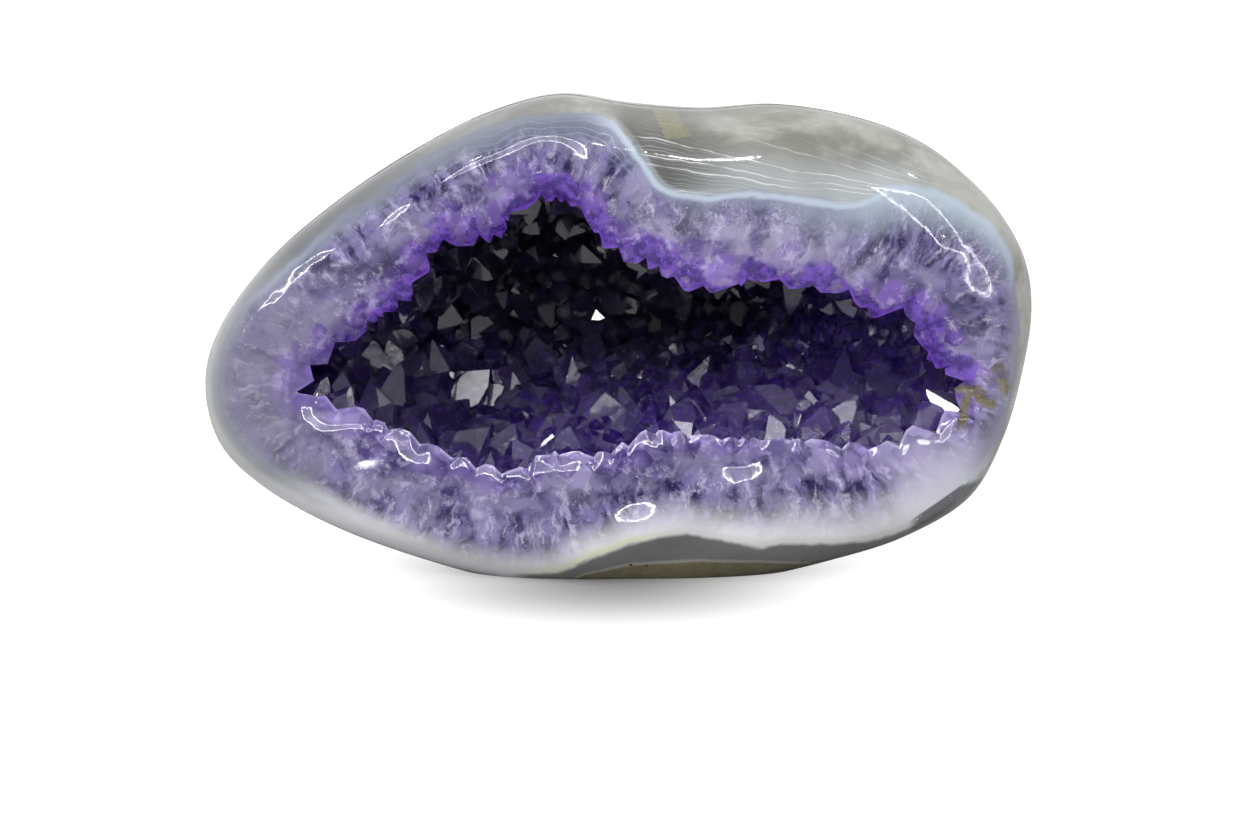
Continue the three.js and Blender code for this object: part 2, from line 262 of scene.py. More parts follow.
def face_y(at):
    """Depth of the polished front at points, carried on into the hollow as the grinding left it."""
    angle, radius = polar(at)
    outside = np.where(radius < soft_mouth_radius(angle), -1, 1)
    from_mouth = away_from(SOFT_MOUTH, at)[0] * outside
    to_outline = away_from(OUTLINE_LINE, at)[0]
    to_outline = np.where(radius > outline_radius(angle) - 0.1, 0, to_outline)
    share = from_mouth / (np.maximum(from_mouth, 0) + to_outline)
    crest = -FRONT_RISE + bend_back(at[..., 0], at[..., 1])
    drop = RIM_DROP * (1 - 0.45 * np.clip((CENTRE[1] - at[..., 1]) / 12, 0, 1))
    out = np.clip((share - CREST_AT) / (1 - CREST_AT), 0, 1)
    into = np.clip((CREST_AT - share) / CREST_AT, 0, 1.6)
    rounded = crest + drop * into ** 2
    inside = np.clip(-share - 0.276, 0, None) * to_outline
    deep = rounded + (FACE_BOTTOM - rounded) * (1 - np.exp(-inside / FACE_REACH))
    return np.where(share >= CREST_AT, crest * (1 - out ** 2.5) ** (1 / 2.5), deep)


def back_point(angle, turn):
    """The rear of the stone, from the outline (0) to its rearmost point (1), with broad soft lumps."""
    swell = 0.02 * np.sin(3 * angle + 0.6) * np.sin(np.pi * turn) + 0.015 * np.sin(5 * angle + 4 * turn)
    radius = outline_radius(angle) * np.cos(turn * np.pi / 2) ** 0.86
    fade = 1 + swell * np.minimum(1, 4 * turn)
    return place(angle, radius * fade, BACK_DEPTH * np.sin(turn * np.pi / 2) ** 0.92)


def wall_point(angle, turn):
    """The hollow's wall, from its edge at the mouth (0) to the rear (1)."""
    radius = mouth_radius(angle) + CRYSTAL_BAND
    edge = face_y(flat_place(angle, radius))
    phase = turn * np.pi / 2
    opened = radius * np.cos(phase) ** 0.72 * (1 + 0.1 * np.sin(2 * phase))
    return place(angle, opened, edge + (HOLLOW_REAR - edge) * np.sin(phase) ** 1.05)


def to_frame(points):
    """From the outlines' own millimetres to the part's frame, in metres."""
    return (points + np.array((0.0, BALANCE_SHIFT, -BASE_CUT))) * MM


# The mouth's edge

TOOTH_WIDTH = (1.6, 7.0)  # along the mouth
TOOTH_REACH = (0.25, 0.55)  # from notch to tip, as a share of that, on the roof and the sides
SOFT_REACH = (0.12, 0.34)  # the same along the floor, where the grinding rounded them
LOW_ROOF = 0.7  # how much of that the teeth reach on the right of the roof
REACH_WIDTH = 5.0  # a wider tooth reaches no farther than one of this width
NOTCH_OUT = 0.38  # how much of its reach a tooth has outside the mouth's line
TIP_IN = 0.62  # and inside it
FIRST_CORNER = (0.2, 0.55)  # along the tooth, from 0 to 1
SECOND_CORNER = 0.84  # at most
CORNER_GAP = 0.12  # at least, from the first corner to the second
LEAST_TIP = 0.2  # of its reach that a tooth's second corner has inside the line
SOFT_HALF = 52  # half the length of the floor's rounded teeth, from the hollow's middle
ROOF_RIGHT = 4  # where the right of the roof begins, from there too
COLUMN_WIDTH = 0.6  # of one facet of the stone's skin along the mouth
NOTCH_DEPTH = 0.4  # how far back the surface lies in the grooves between the teeth
TOOTH_STEP = 0.26  # how unequal the teeth are
WAVE_LENGTH = (9, 22)
WAVE_HEIGHT = 0.42
WAVES = 14


def undulation(at):
    """Soft unevenness of a hand-polished face, in millimetres."""
    waves = np.random.default_rng(23)
    height = np.zeros(at.shape[:-1])
    for _ in range(WAVES):
        length, heading = waves.uniform(*WAVE_LENGTH), waves.uniform(0, np.pi)
        across = at @ np.array((np.cos(heading), np.sin(heading)))
        height += np.cos(across * 2 * np.pi / length + waves.uniform(0, 2 * np.pi)) * length / 16
    return height * WAVE_HEIGHT / np.sqrt(WAVES / 2)


def mouth_edge(rng):
    """The jagged line where crystals meet the polished face.

    Returns its points, their shares of the way round, their tooth, a tone for each of its flat sides,
    and how near a notch they are.
    """
    line = smooth_loop(MOUTH, 1440)
    step = np.linalg.norm(np.roll(line, -1, 0) - line, axis=1)
    along = np.concatenate(([0], np.cumsum(step)))
    closed = np.concatenate((line, line[:1]))
    girth = along[-1]

    def corner(stop, out):
        """A point on the mouth's line, moved outwards by so much."""
        stop = stop % girth
        p = np.array([np.interp(stop, along, closed[:, i]) for i in (0, 1)])
        before, after = round_line(SOFT_MOUTH, np.array((stop / girth - 0.004, stop / girth + 0.004)))
        way = (after - before) / np.linalg.norm(after - before)
        return p + np.array((-way[1], way[0])) * out

    points, share, tooth, tones, notch = [], [], [], [], []
    start, count, before = 0.0, 0, 1.0
    while start < girth - TOOTH_WIDTH[0]:
        width = min(rng.uniform(*TOOTH_WIDTH), girth - start)
        if girth - start - width < TOOTH_WIDTH[0]:
            width = girth - start
        x, z = corner(start, 0) - CENTRE
        soft = z < 0 and abs(x) < SOFT_HALF
        reach = min(width, REACH_WIDTH) * rng.uniform(*(SOFT_REACH if soft else TOOTH_REACH))
        if z > 0 and x > ROOF_RIGHT:
            reach *= LOW_ROOF
        first = rng.uniform(*FIRST_CORNER)
        second = rng.uniform(first + CORNER_GAP, SECOND_CORNER)
        profile = (
            (0, NOTCH_OUT * before), (first, -TIP_IN * reach),
            (second, -rng.uniform(LEAST_TIP, TIP_IN) * reach), (1, NOTCH_OUT * reach))
        for (a, out_a), (b, out_b) in zip(profile, profile[1:]):
            sides = max(2, round((b - a) * width / COLUMN_WIDTH))
            ends = corner(start + a * width, out_a), corner(start + b * width, out_b)
            side_tone = rng.random()
            for t in np.arange(sides) / sides:
                place_in = a + (b - a) * t
                points.append(ends[0] + (ends[1] - ends[0]) * t)
                share.append((start + place_in * width) / girth)
                tooth.append(count)
                tones.append(side_tone)
                notch.append(max(0, 1 - place_in / first, (place_in - second) / (1 - second)))
        start, count, before = start + width, count + 1, reach
    return tuple(np.array(values)[::-1] for values in (points, share, tooth, tones, notch))


def untangled(edge, outer):
    """The mouth's edge, evened out where the columns that start from it would cross on their way out."""
    for _ in range(12):
        along, out = np.roll(edge, -1, 0) - edge, outer - edge
        turn = along[:, 0] * out[:, 1] - along[:, 1] * out[:, 0]
        crossed = turn * np.sign(np.median(turn)) < 0.02 * np.linalg.norm(out, axis=1)
        near = crossed | np.roll(crossed, 1)
        edge = np.where(near[:, None], (np.roll(edge, 1, 0) + np.roll(edge, -1, 0)) / 2, edge)
    return edge


# Meshes

def ring_faces(rings, columns, material_of):
    """Quads and end fans of a closed skin: pole, rings, pole. Returns faces and their materials."""
    def at(ring, i):
        return 1 + ring * columns + i % columns

    last = at(rings, 0)
    faces, materials = [], []
    for i in range(columns):
        faces.append((0, at(0, i + 1), at(0, i)))
        materials.append(material_of(0))
        for k in range(rings - 1):
            faces.append((at(k, i), at(k, i + 1), at(k + 1, i + 1), at(k + 1, i)))
            materials.append(material_of(k + 1))
        faces.append((last, at(rings - 1, i), at(rings - 1, i + 1)))
        materials.append(material_of(rings))
    return faces, materials


def new_piece(name, points, faces, materials=(), finishes=()):
    """A mesh object of the part, at the origin, with its faces turned outwards."""
    mesh = bpy.data.meshes.new(name)
    mesh.from_pydata(to_frame(points).tolist(), [], faces)
    for finish in finishes:
        mesh.materials.append(finish)
    if len(materials):
        mesh.polygons.foreach_set("material_index", materials)
    shell = bmesh.new()
    shell.from_mesh(mesh)
    if shell.calc_volume(signed=True) < 0:
        bmesh.ops.reverse_faces(shell, faces=shell.faces)
    shell.to_mesh(mesh)
    shell.free()
    piece = bpy.data.objects.new(name, mesh)
    bpy.context.scene.collection.objects.link(piece)
    return piece


def set_values(piece, name, values):
    """A named value on each vertex, for the finishes."""
    values = np.asarray(values, np.float32)
    kind = "FLOAT_VECTOR" if values.ndim == 2 else "FLOAT"
    attribute = piece.data.attributes.new(name, kind, "POINT")
    attribute.data.foreach_set("vector" if values.ndim == 2 else "value", values.ravel())


FACE_RINGS = 66
BACK_RINGS = 44
FACET_RINGS = 4
WALL_RINGS = 16
OUTLINE_RING = WALL_RINGS + FACET_RINGS - 1 + FACE_RINGS  # the ring that lies on the outline
FACET_DEPTH = 5.0  # from the mouth's edge in along the teeth's cut sides
FACET_TURN = 0.13  # where those end on the hollow's wall
CREVICE_WIDTH = 0.9
SHARP_ANGLE = math.radians(24)
GROOVE_LENGTH = 1.5  # how far the grooves between the teeth run out over the rim


def ramp(value, low, high):
    """0 at low, 1 at high and straight between them."""
    return np.clip((value - low) / (high - low), 0, 1)


def stone_rings(edge, angle, outer, outer_angle, uneven):
    """The stone's rings of points, their place in the growth and their distance from the mouth's edge."""
    columns = len(angle)
    edge_point = np.column_stack((edge[:, 0], face_y(edge) + uneven, edge[:, 1]))
    facet_foot = wall_point(angle, FACET_TURN)
    growth_at_edge = signed_distance(BAND_LINE, band_radius, edge)

    rings, growth, lip = [], [], []
    for k in range(WALL_RINGS):
        rings.append(wall_point(angle, 1 - (1 - FACET_TURN) * (k + 1) / WALL_RINGS))
        growth.append(growth_at_edge + 8)
        lip.append(np.full(columns, -FACET_DEPTH - 2.0))
    for k in range(1, FACET_RINGS):
        t = k / FACET_RINGS
        rings.append(facet_foot * (1 - t) + edge_point * t)
        growth.append(growth_at_edge + (1 - t) * 4)
        lip.append(np.full(columns, -FACET_DEPTH * (1 - t)))
    for k in range(FACE_RINGS + 1):
        t = 0.5 - 0.5 * math.cos(math.pi * k / FACE_RINGS)
        at = edge + (outer - edge) * t
        from_lip = away_from(edge, at)[0] if k else np.zeros(columns)
        window = ramp(at[:, 0], -8, 0) * ramp(at[:, 1], 58, 64)
        calm = np.maximum(window, 0.9 * ramp(at[:, 0], 34, 44))
        waves = undulation(at) * (1 - 0.9 * calm) + WAVE_HEIGHT
        waves = waves * ramp(np.linalg.norm(outer - at, axis=1), 0, 9) * ramp(from_lip, 0, 5)
        grooves = uneven * np.exp(-(from_lip / GROOVE_LENGTH) ** 2)
        cracks = CREVICE_DEPTH * np.exp(-(beside(CREVICES, at) / CREVICE_WIDTH) ** 2)
        rings.append(np.column_stack((at[:, 0], face_y(at) + waves + grooves + cracks, at[:, 1])))
        growth.append(signed_distance(BAND_LINE, band_radius, at))
        lip.append(from_lip)
    behind = np.zeros(columns)
    for k in range(BACK_RINGS):
        rings.append(back_point(outer_angle, (k + 1) / (BACK_RINGS + 1)))
        behind = behind + np.linalg.norm(rings[-1] - rings[-2], axis=-1)
        growth.append(growth[OUTLINE_RING] - behind)
        lip.append(lip[OUTLINE_RING] + behind)
    return rings, growth, lip


def make_stone(rng, finishes):
    """The stone, from the hollow's rear up its wall, over the teeth and the rim and round the back."""
    edge, share, tooth, side_tone, notch = mouth_edge(rng)
    tooth_tone = rng.random(tooth.max() + 1)[tooth]
    uneven = NOTCH_DEPTH * notch ** 1.5 + TOOTH_STEP * (tooth_tone - 0.5)
    angle = polar(round_line(SOFT_MOUTH, share))[0]
    outer_angle = outline_facing(share)
    outer = flat_place(outer_angle, outline_radius(outer_angle))
    rings, growth, lip = stone_rings(untangled(edge, outer), angle, outer, outer_angle, uneven)

    rear = place(0.0, 0.0, HOLLOW_REAR)
    far = place(0.0, 0.0, BACK_DEPTH)
    points = np.concatenate(([rear], *rings, [far]))
    faces, materials = ring_faces(len(rings), len(angle), lambda k: 1 if k < WALL_RINGS else 0)
    piece = new_piece("stone_body", points, faces, materials, finishes)

    growth = np.concatenate(([growth[0].mean()], *growth, [growth[-1].mean()]))
    girth = np.linalg.norm(np.diff(BAND_LINE, axis=0), axis=1).sum() / (2 * np.pi)
    way = away_from(BAND_LINE, points[:, ::2])[1] * girth
    set_values(piece, "growth", growth)
    set_values(piece, "lip", np.concatenate(([lip[0].mean()], *lip, [lip[-1].mean()])))
    set_values(piece, "columns", np.column_stack((way, growth)))
    set_values(piece, "pale_width", pale_width(polar(points[:, ::2])[0]))
    for name, values in (("tooth_tone", tooth_tone), ("side_tone", side_tone), ("notch", notch)):
        set_values(piece, name, np.concatenate(([0.5], np.tile(values, len(rings)), [0.5])))
    set_values(piece, "under", np.interp(points[:, 0], *zip(*OLIVE_LINE)) - points[:, 2])
    set_values(piece, "patch", inside_of(PATCH, points))
    set_values(piece, "crevice", np.where(points[:, 1] < 0, beside(CREVICES, points[:, ::2]), 9))
    low_right = ramp(points[:, 0], 50, 56) * ramp(points[:, 2], 21, 16) * ramp(points[:, 1], -2, -8)
    set_values(piece, "chipped", low_right * ramp(growth, 2.4, 1.4))
    cut_base(piece)
    piece.data.shade_smooth()
    piece.data.set_sharp_from_angle(angle=SHARP_ANGLE)
    return piece


def beside(lines, at):
    """Distance from points to the nearest of some open lines."""
    nearest = np.full(at.shape[:-1], 99.0)
    for line in lines:
        for a, b in zip(np.array(line[:-1]), np.array(line[1:])):
            along = b - a
            share = np.clip((at - a) @ along / (along @ along), 0, 1)
            nearest = np.minimum(nearest, np.linalg.norm(at - a - share[..., None] * along, axis=-1))
    return nearest


def inside_of(corners, points):
    """How far points lie inside a convex patch seen from the front, in millimetres."""
    corners = np.array(corners)
    nearest = np.full(len(points), 99.0)
    for a, b in zip(corners, np.roll(corners, -1, 0)):
        along = (b - a) / np.linalg.norm(b - a)
        nearest = np.minimum(nearest, (points[:, ::2] - a) @ np.array((along[1], -along[0])))
    return np.where(points[:, 1] < 0, nearest, -9.0)


def signed_distance(line, line_radius, at):
    """Distance inwards from a closed line; negative outside it."""
    angle, radius = polar(at)
    return away_from(line, at)[0] * np.where(radius < line_radius(angle), 1, -1)


def cut_base(piece):
    """Takes off what lies under the flat cut, and closes it."""
    shell = bmesh.new()
    shell.from_mesh(piece.data)
    geometry = shell.verts[:] + shell.edges[:] + shell.faces[:]
    cut = bmesh.ops.bisect_plane(
        shell, geom=geometry, plane_co=(0, 0, 0), plane_no=(0, 0, -1), clear_outer=True)
    rim = [e for e in cut["geom_cut"] if isinstance(e, bmesh.types.BMEdge)]
    bmesh.ops.contextual_create(shell, geom=rim)
    shell.to_mesh(piece.data)
    shell.free()


# Crystals

CRYSTAL_KINDS = 12
CRYSTAL_SPACING = 4.0 * MM  # at least, between the large ones
CRYSTAL_RADIUS = (1.6 * MM, 3.9 * MM)
SMALL_SPACING = 1.9 * MM  # at least, between the small ones
SMALL_RADIUS = (0.7 * MM, 1.6 * MM)
CRYSTAL_LEAN = 0.6  # at most, in radians, from straight off the wall
CRYSTAL_SEED = 5
# A crystal's sizes for a radius of 1.
CRYSTAL_HEIGHT = (1.15, 2.1)  # from the wall to the tip
CRYSTAL_ROOT = 0.7  # how far it goes into the wall
PRISM_SIDE = (0.74, 1.0)  # from its axis out to each side
LARGE_FACE = (0.0, 0.14)  # how much farther out than the tip its three large faces would meet the axis
SMALL_FACE = (0.1, 0.6)  # and its three small ones
STRETCH = (0.8, 1.35)  # how tall a placed crystal is against its radius
# The wall that the crust grows on, from its edge (0) to the rear of the hollow (1).
CRUST_EDGE = 0.07
CRUST_LENGTH = 0.93
FLOOR_VIGOUR = 0.4  # how much larger the crystals of the floor are
EDGE_VIGOUR = 0.45  # size of the crystals at the crust's edge, against those inside
EDGE_ROWS = 8  # rows of the wall in which one whole size is gained
# Shares of the way from the hollow's middle at which the polished face is followed.
FACE_SHARES = (
    1.0, 0.97, 0.94, 0.91, 0.88, 0.85, 0.82, 0.78, 0.74, 0.7, 0.65, 0.58, 0.5, 0.4, 0.28, 0.14)
GRIND_GAP = 0.15  # from the polished face back to where the crystals are ground off
SPECK = 24  # points, under which a solid that stands apart is a speck
TIP_TILT = math.radians(51.8)  # between a crystal's axis and a tip face's normal


def crystal_mesh(name, rng):
    """A quartz crystal of radius 1: six prism sides, three large and three small tip faces, and a root."""
    height = rng.uniform(*CRYSTAL_HEIGHT)
    normals, offsets = [(0, 0, -1)], [CRYSTAL_ROOT]
    for k in range(6):
        side = k * math.pi / 3
        normals.append((math.cos(side), math.sin(side), 0))
        offsets.append(rng.uniform(*PRISM_SIDE))
        farther = rng.uniform(*(SMALL_FACE if k % 2 else LARGE_FACE))
        normals.append((
            math.sin(TIP_TILT) * math.cos(side), math.sin(TIP_TILT) * math.sin(side), math.cos(TIP_TILT)))
        offsets.append(math.cos(TIP_TILT) * (height + farther))
    normals, offsets = np.array(normals), np.array(offsets)
    solid = bmesh.new()
    count = len(normals)
    for i in range(count):
        for j in range(i + 1, count):
            for k in range(j + 1, count):
                three = [i, j, k]
                if abs(np.linalg.det(normals[three])) < 1e-6:
                    continue
                corner = np.linalg.solve(normals[three], offsets[three])
                if (normals @ corner < offsets + 1e-6).all():
                    solid.verts.new(corner)
    bmesh.ops.remove_doubles(solid, verts=solid.verts, dist=1e-4)
    bmesh.ops.convex_hull(solid, input=solid.verts)
    bmesh.ops.dissolve_limit(solid, angle_limit=0.01, verts=solid.verts, edges=solid.edges)
    mesh = bpy.data.meshes.new(name)
    solid.to_mesh(mesh)
    solid.free()
    return mesh


def crystal_kinds(rng):
    """The different crystals that are scattered, in a collection of their own."""
    kinds = bpy.data.collections.new("crystal_kinds")
    for n in range(CRYSTAL_KINDS):
        name = f"crystal_kind_{n:02d}"
        kinds.objects.link(bpy.data.objects.new(name, crystal_mesh(name, rng)))
    return kinds


def hollow_wall():
    """The part of the hollow's wall that crystals grow on, facing into the hollow."""
    columns, rows = 180, 26
    angle = np.arange(columns) / columns * 2 * np.pi
    rings = [wall_point(angle, CRUST_EDGE + CRUST_LENGTH * (k / rows)) for k in range(rows)]
    points = np.concatenate((*rings, [place(0.0, 0.0, HOLLOW_REAR)]))
    faces = []
    for i in range(columns):
        j = (i + 1) % columns
        for k in range(rows - 1):
            a, b = k * columns, (k + 1) * columns
            faces.append((a + i, a + j, b + j, b + i))
        faces.append((a + columns + i, a + columns + j, rows * columns))
    mesh = bpy.data.meshes.new("hollow_wall")
    mesh.from_pydata(to_frame(points).tolist(), [], faces)
    floor = np.clip(-(points[:, 2] - CENTRE[1]) / 18, 0, 1)
    inward = np.minimum(1, EDGE_VIGOUR + np.arange(len(points)) // columns / EDGE_ROWS)
    vigour = (1 + FLOOR_VIGOUR * floor) * inward
    attribute = mesh.attributes.new("vigour", "FLOAT", "POINT")
    attribute.data.foreach_set("value", vigour.astype(np.float32))
    wall = bpy.data.objects.new("hollow_wall", mesh)
    bpy.context.scene.collection.objects.link(wall)
    return wall


def grinding_room():
    """The space that crystals may fill: behind the polished face, and a little way into the stone."""
    columns = 240
    angle = np.arange(columns) / columns * 2 * np.pi
    mouth = mouth_radius(angle)
    reach = (mouth + CRYSTAL_BAND) * 1.04 + 2.5
    reach = np.minimum(reach, outline_radius(angle) - 2)
    rings = []
    for share in (0.3, 0.6, 1.0):
        rings.append(place(angle, reach * share, HOLLOW_REAR + 4 - 2 * share ** 3))
    for share in FACE_SHARES:
        rings.append(place(angle, reach * share, face_y(flat_place(angle, reach * share)) + GRIND_GAP))
    points = np.concatenate((
        [place(0.0, 0.0, HOLLOW_REAR + 4)], *rings, [place(0.0, 0.0, FACE_BOTTOM)]))
    faces, _ = ring_faces(len(rings), columns, lambda k: 0)
    return new_piece("grinding_room", points, faces)


# Nodes

class Wiring:
    """One node tree, with nodes added and joined by their sockets' names."""

    def __init__(self, tree):
        self.tree = tree

    def add(self, kind, settings=None, **sockets):
        """A new node with its settings and inputs; an underscore stands for a space in an input's name."""
        node = self.tree.nodes.new(kind)
        for name, value in (settings or {}).items():
            setattr(node, name, value)
        self.set_inputs(node, **sockets)
        return node

    def set_inputs(self, node, **sockets):
        for name, value in sockets.items():
            self.feed(node, name.replace("_", " "), value)

    def feed(self, node, name, value):
        """Wires or sets one input, by its name or, as in "#2", by its index."""
        socket = node.inputs[int(name[1:]) if name[:1] == "#" else name]
        if isinstance(value, bpy.types.NodeSocket):
            self.tree.links.new(value, socket)
        else:
            socket.default_value = value

    def math(self, operation, a, b=0.0, clamp=False):
        node = self.add("ShaderNodeMath", {"operation": operation, "use_clamp": clamp})
        self.feed(node, "#0", a)
        self.feed(node, "#1", b)
        return node.outputs[0]

    def times(self, first, *others):
        for other in others:
            first = self.math("MULTIPLY", first, other)
        return first

    def plus(self, first, *others):
        for other in others:
            first = self.math("ADD", first, other)
        return first

    def minus(self, a, b):
        return self.math("SUBTRACT", a, b)

    def vector(self, operation, a, b):
        node = self.add("ShaderNodeVectorMath", {"operation": operation})
        self.feed(node, "#0", a)
        self.feed(node, "#1", b)
        return node.outputs[0]

    def remap(self, value, low, high, to_low=0.0, to_high=1.0, curve="SMOOTHSTEP"):
        """A value's way from low to high turned into a smooth step between two others."""
        node = self.add(
            "ShaderNodeMapRange", {"interpolation_type": curve},
            Value=value, From_Min=low, From_Max=high, To_Min=to_low, To_Max=to_high)
        return node.outputs[0]

    def length(self, vector):
        node = self.add("ShaderNodeVectorMath", {"operation": "LENGTH"})
        self.feed(node, "#0", vector)
        return node.outputs["Value"]

    def axes(self, vector):
        return self.add("ShaderNodeSeparateXYZ", None, Vector=vector).outputs

    def blend(self, share, a, b):
        """A value between two."""
        node = self.add("ShaderNodeMix", {"data_type": "FLOAT"})
        self.feed(node, "#0", share)
        self.feed(node, "#2", a)
        self.feed(node, "#3", b)
        return node.outputs[0]

    def mix(self, share, a, b):
        """A colour between two."""
        node = self.add("ShaderNodeMix", {"data_type": "RGBA"})
        self.feed(node, "#0", share)
        self.feed(node, "#6", a)
        self.feed(node, "#7", b)
        return node.outputs[2]

    def value_of(self, name, vector=False):
        """A named value that the mesh carries."""
        node = self.add("ShaderNodeAttribute", {"attribute_name": name})
        return node.outputs["Vector" if vector else "Fac"]

    def noise(self, at, scale, detail=4.0, roughness=0.55, distortion=0.0):
        """Smooth random values from 0 to 1, scale to the millimetre."""
        node = self.add(
            "ShaderNodeTexNoise", None, Vector=at, Scale=scale, Detail=detail,
            Roughness=roughness, Distortion=distortion)
        return node.outputs["Fac"]

    def sway(self, reach, at, scale, detail=4.0, roughness=0.55):
        """Noise on both sides of zero."""
        return self.times(self.minus(self.noise(at, scale, detail, roughness), 0.5), reach)

    def layers(self, depth, scale, detail, roughness=0.55):
        """Noise that changes with one value only, as layers of growth do."""
        along = self.add("ShaderNodeCombineXYZ", None, X=depth)
        return self.noise(along.outputs[0], scale, detail, roughness)

    def cells(self, at, scale, feature="F1", **settings):
        """Distance from the middle, or from the edge, of random cells."""
        node = self.add("ShaderNodeTexVoronoi", {"feature": feature, **settings}, Scale=scale)
        self.feed(node, "W" if settings.get("voronoi_dimensions") == "1D" else "Vector", at)
        return node.outputs["Distance"]

    def cell_tone(self, at, scale):
        """A random value for each cell."""
        colour = self.add("ShaderNodeTexVoronoi", None, Vector=at, Scale=scale).outputs["Color"]
        return self.add("ShaderNodeSeparateColor", None, Color=colour).outputs[0]

    def relief(self, strength, depth, height):
        """A normal that shows a fine unevenness."""
        bump = self.add("ShaderNodeBump", None, Strength=strength, Distance=depth, Height=height)
        return bump.outputs[0]

    def use(self, group, **sockets):
        """The outputs of a node group placed in this tree."""
        return self.add("ShaderNodeGroup", {"node_tree": group}, **sockets).outputs

    def here(self):
        """Object coordinates, in millimetres."""
        place_on = self.add("ShaderNodeTexCoord").outputs["Object"]
        return self.vector("MULTIPLY", place_on, (1000.0, 1000.0, 1000.0))


def crust_tree(finish):
    """Large and small crystals on a wall: scattered, leaned, joined into one solid, ground off in front."""
    tree = bpy.data.node_groups.new("crystal_crust", "GeometryNodeTree")
    sockets = tree.interface
    sockets.new_socket("Wall", in_out="INPUT", socket_type="NodeSocketGeometry")
    for name, kind, value in (
        ("Crystals", "NodeSocketCollection", None), ("Room", "NodeSocketObject", None),
        ("Spacing", "NodeSocketFloat", 0.005), ("Smallest", "NodeSocketFloat", 0.002),
        ("Largest", "NodeSocketFloat", 0.004), ("Small Spacing", "NodeSocketFloat", 0.002),
        ("Small Smallest", "NodeSocketFloat", 0.001), ("Small Largest", "NodeSocketFloat", 0.002),
        ("Lean", "NodeSocketFloat", 0.3), ("Seed", "NodeSocketInt", 1),
    ):
        socket = sockets.new_socket(name, in_out="INPUT", socket_type=kind)
        if value is not None:
            socket.default_value = value
    sockets.new_socket("Crust", in_out="OUTPUT", socket_type="NodeSocketGeometry")
    w = Wiring(tree)
    given = w.add("NodeGroupInput").outputs
    kinds = w.add(
        "GeometryNodeCollectionInfo", None, Collection=given["Crystals"],
        Separate_Children=True, Reset_Children=True)
    vigour = w.add("GeometryNodeInputNamedAttribute", {"data_type": "FLOAT"}, Name="vigour")

    def spread(low, high, offset):
        """A random value for each crystal."""
        node = w.add("FunctionNodeRandomValue", {"data_type": "FLOAT"}, Seed=offset)
        lows, highs = [i for i, s in enumerate(node.inputs) if s.enabled and s.name in ("Min", "Max")]
        w.feed(node, f"#{lows}", low)
        w.feed(node, f"#{highs}", high)
        return next(s for s in node.outputs if s.enabled)

    def combined(operation, *solids):
        """Closed solids joined into one, or what they share."""
        node = w.add("GeometryNodeMeshBoolean", {"operation": operation, "solver": "MANIFOLD"})
        for solid in solids:
            w.tree.links.new(solid, node.inputs["Mesh 2"])
        return node.outputs[0]

    def generation(spacing, smallest, largest, offset):
        """Crystals of one range of sizes, at least so far apart, each leaned its own way."""
        spots = w.add(
            "GeometryNodeDistributePointsOnFaces", {"distribute_method": "POISSON"},
            Mesh=given["Wall"], Distance_Min=spacing, Density_Max=1e6,
            Seed=w.math("ADD", given["Seed"], float(offset)))
        leaning = w.math("MULTIPLY", given["Lean"], -1.0)
        tilt = w.add(
            "ShaderNodeCombineXYZ", None, X=spread(leaning, given["Lean"], offset + 1),
            Y=spread(leaning, given["Lean"], offset + 2),
            Z=spread(0.0, 2 * math.pi, offset + 3)).outputs[0]
        turned = w.add(
            "FunctionNodeRotateRotation", {"rotation_space": "LOCAL"},
            Rotation=spots.outputs["Rotation"],
            Rotate_By=w.add("FunctionNodeEulerToRotation", None, Euler=tilt).outputs[0])
        size = w.math("MULTIPLY", spread(smallest, largest, offset + 4), vigour.outputs[0])
        tall = w.math("MULTIPLY", size, spread(*STRETCH, offset + 5))
        return w.add(
            "GeometryNodeInstanceOnPoints", None, Points=spots.outputs["Points"],
            Instance=kinds.outputs[0], Pick_Instance=True, Rotation=turned.outputs[0],
            Scale=w.add("ShaderNodeCombineXYZ", None, X=size, Y=size, Z=tall).outputs[0]).outputs[0]

    large = generation(given["Spacing"], given["Smallest"], given["Largest"], 0)
    small = generation(given["Small Spacing"], given["Small Smallest"], given["Small Largest"], 20)
    room = w.add("GeometryNodeObjectInfo", None, Object=given["Room"])
    ground = combined("INTERSECT", combined("UNION", large, small), room.outputs["Geometry"])
    real = w.add("GeometryNodeRealizeInstances", None, Geometry=ground)
    finished = w.add("GeometryNodeSetMaterial", None, Geometry=real.outputs[0], Material=finish)
    w.add("NodeGroupOutput", None, Crust=finished.outputs[0])
    return tree


def give(modifier, values):
    """Sets a node modifier's inputs by their names."""
    for item in modifier.node_group.interface.items_tree:
        if item.item_type == "SOCKET" and item.in_out == "INPUT" and item.name in values:
            modifier[item.identifier] = values[item.name]


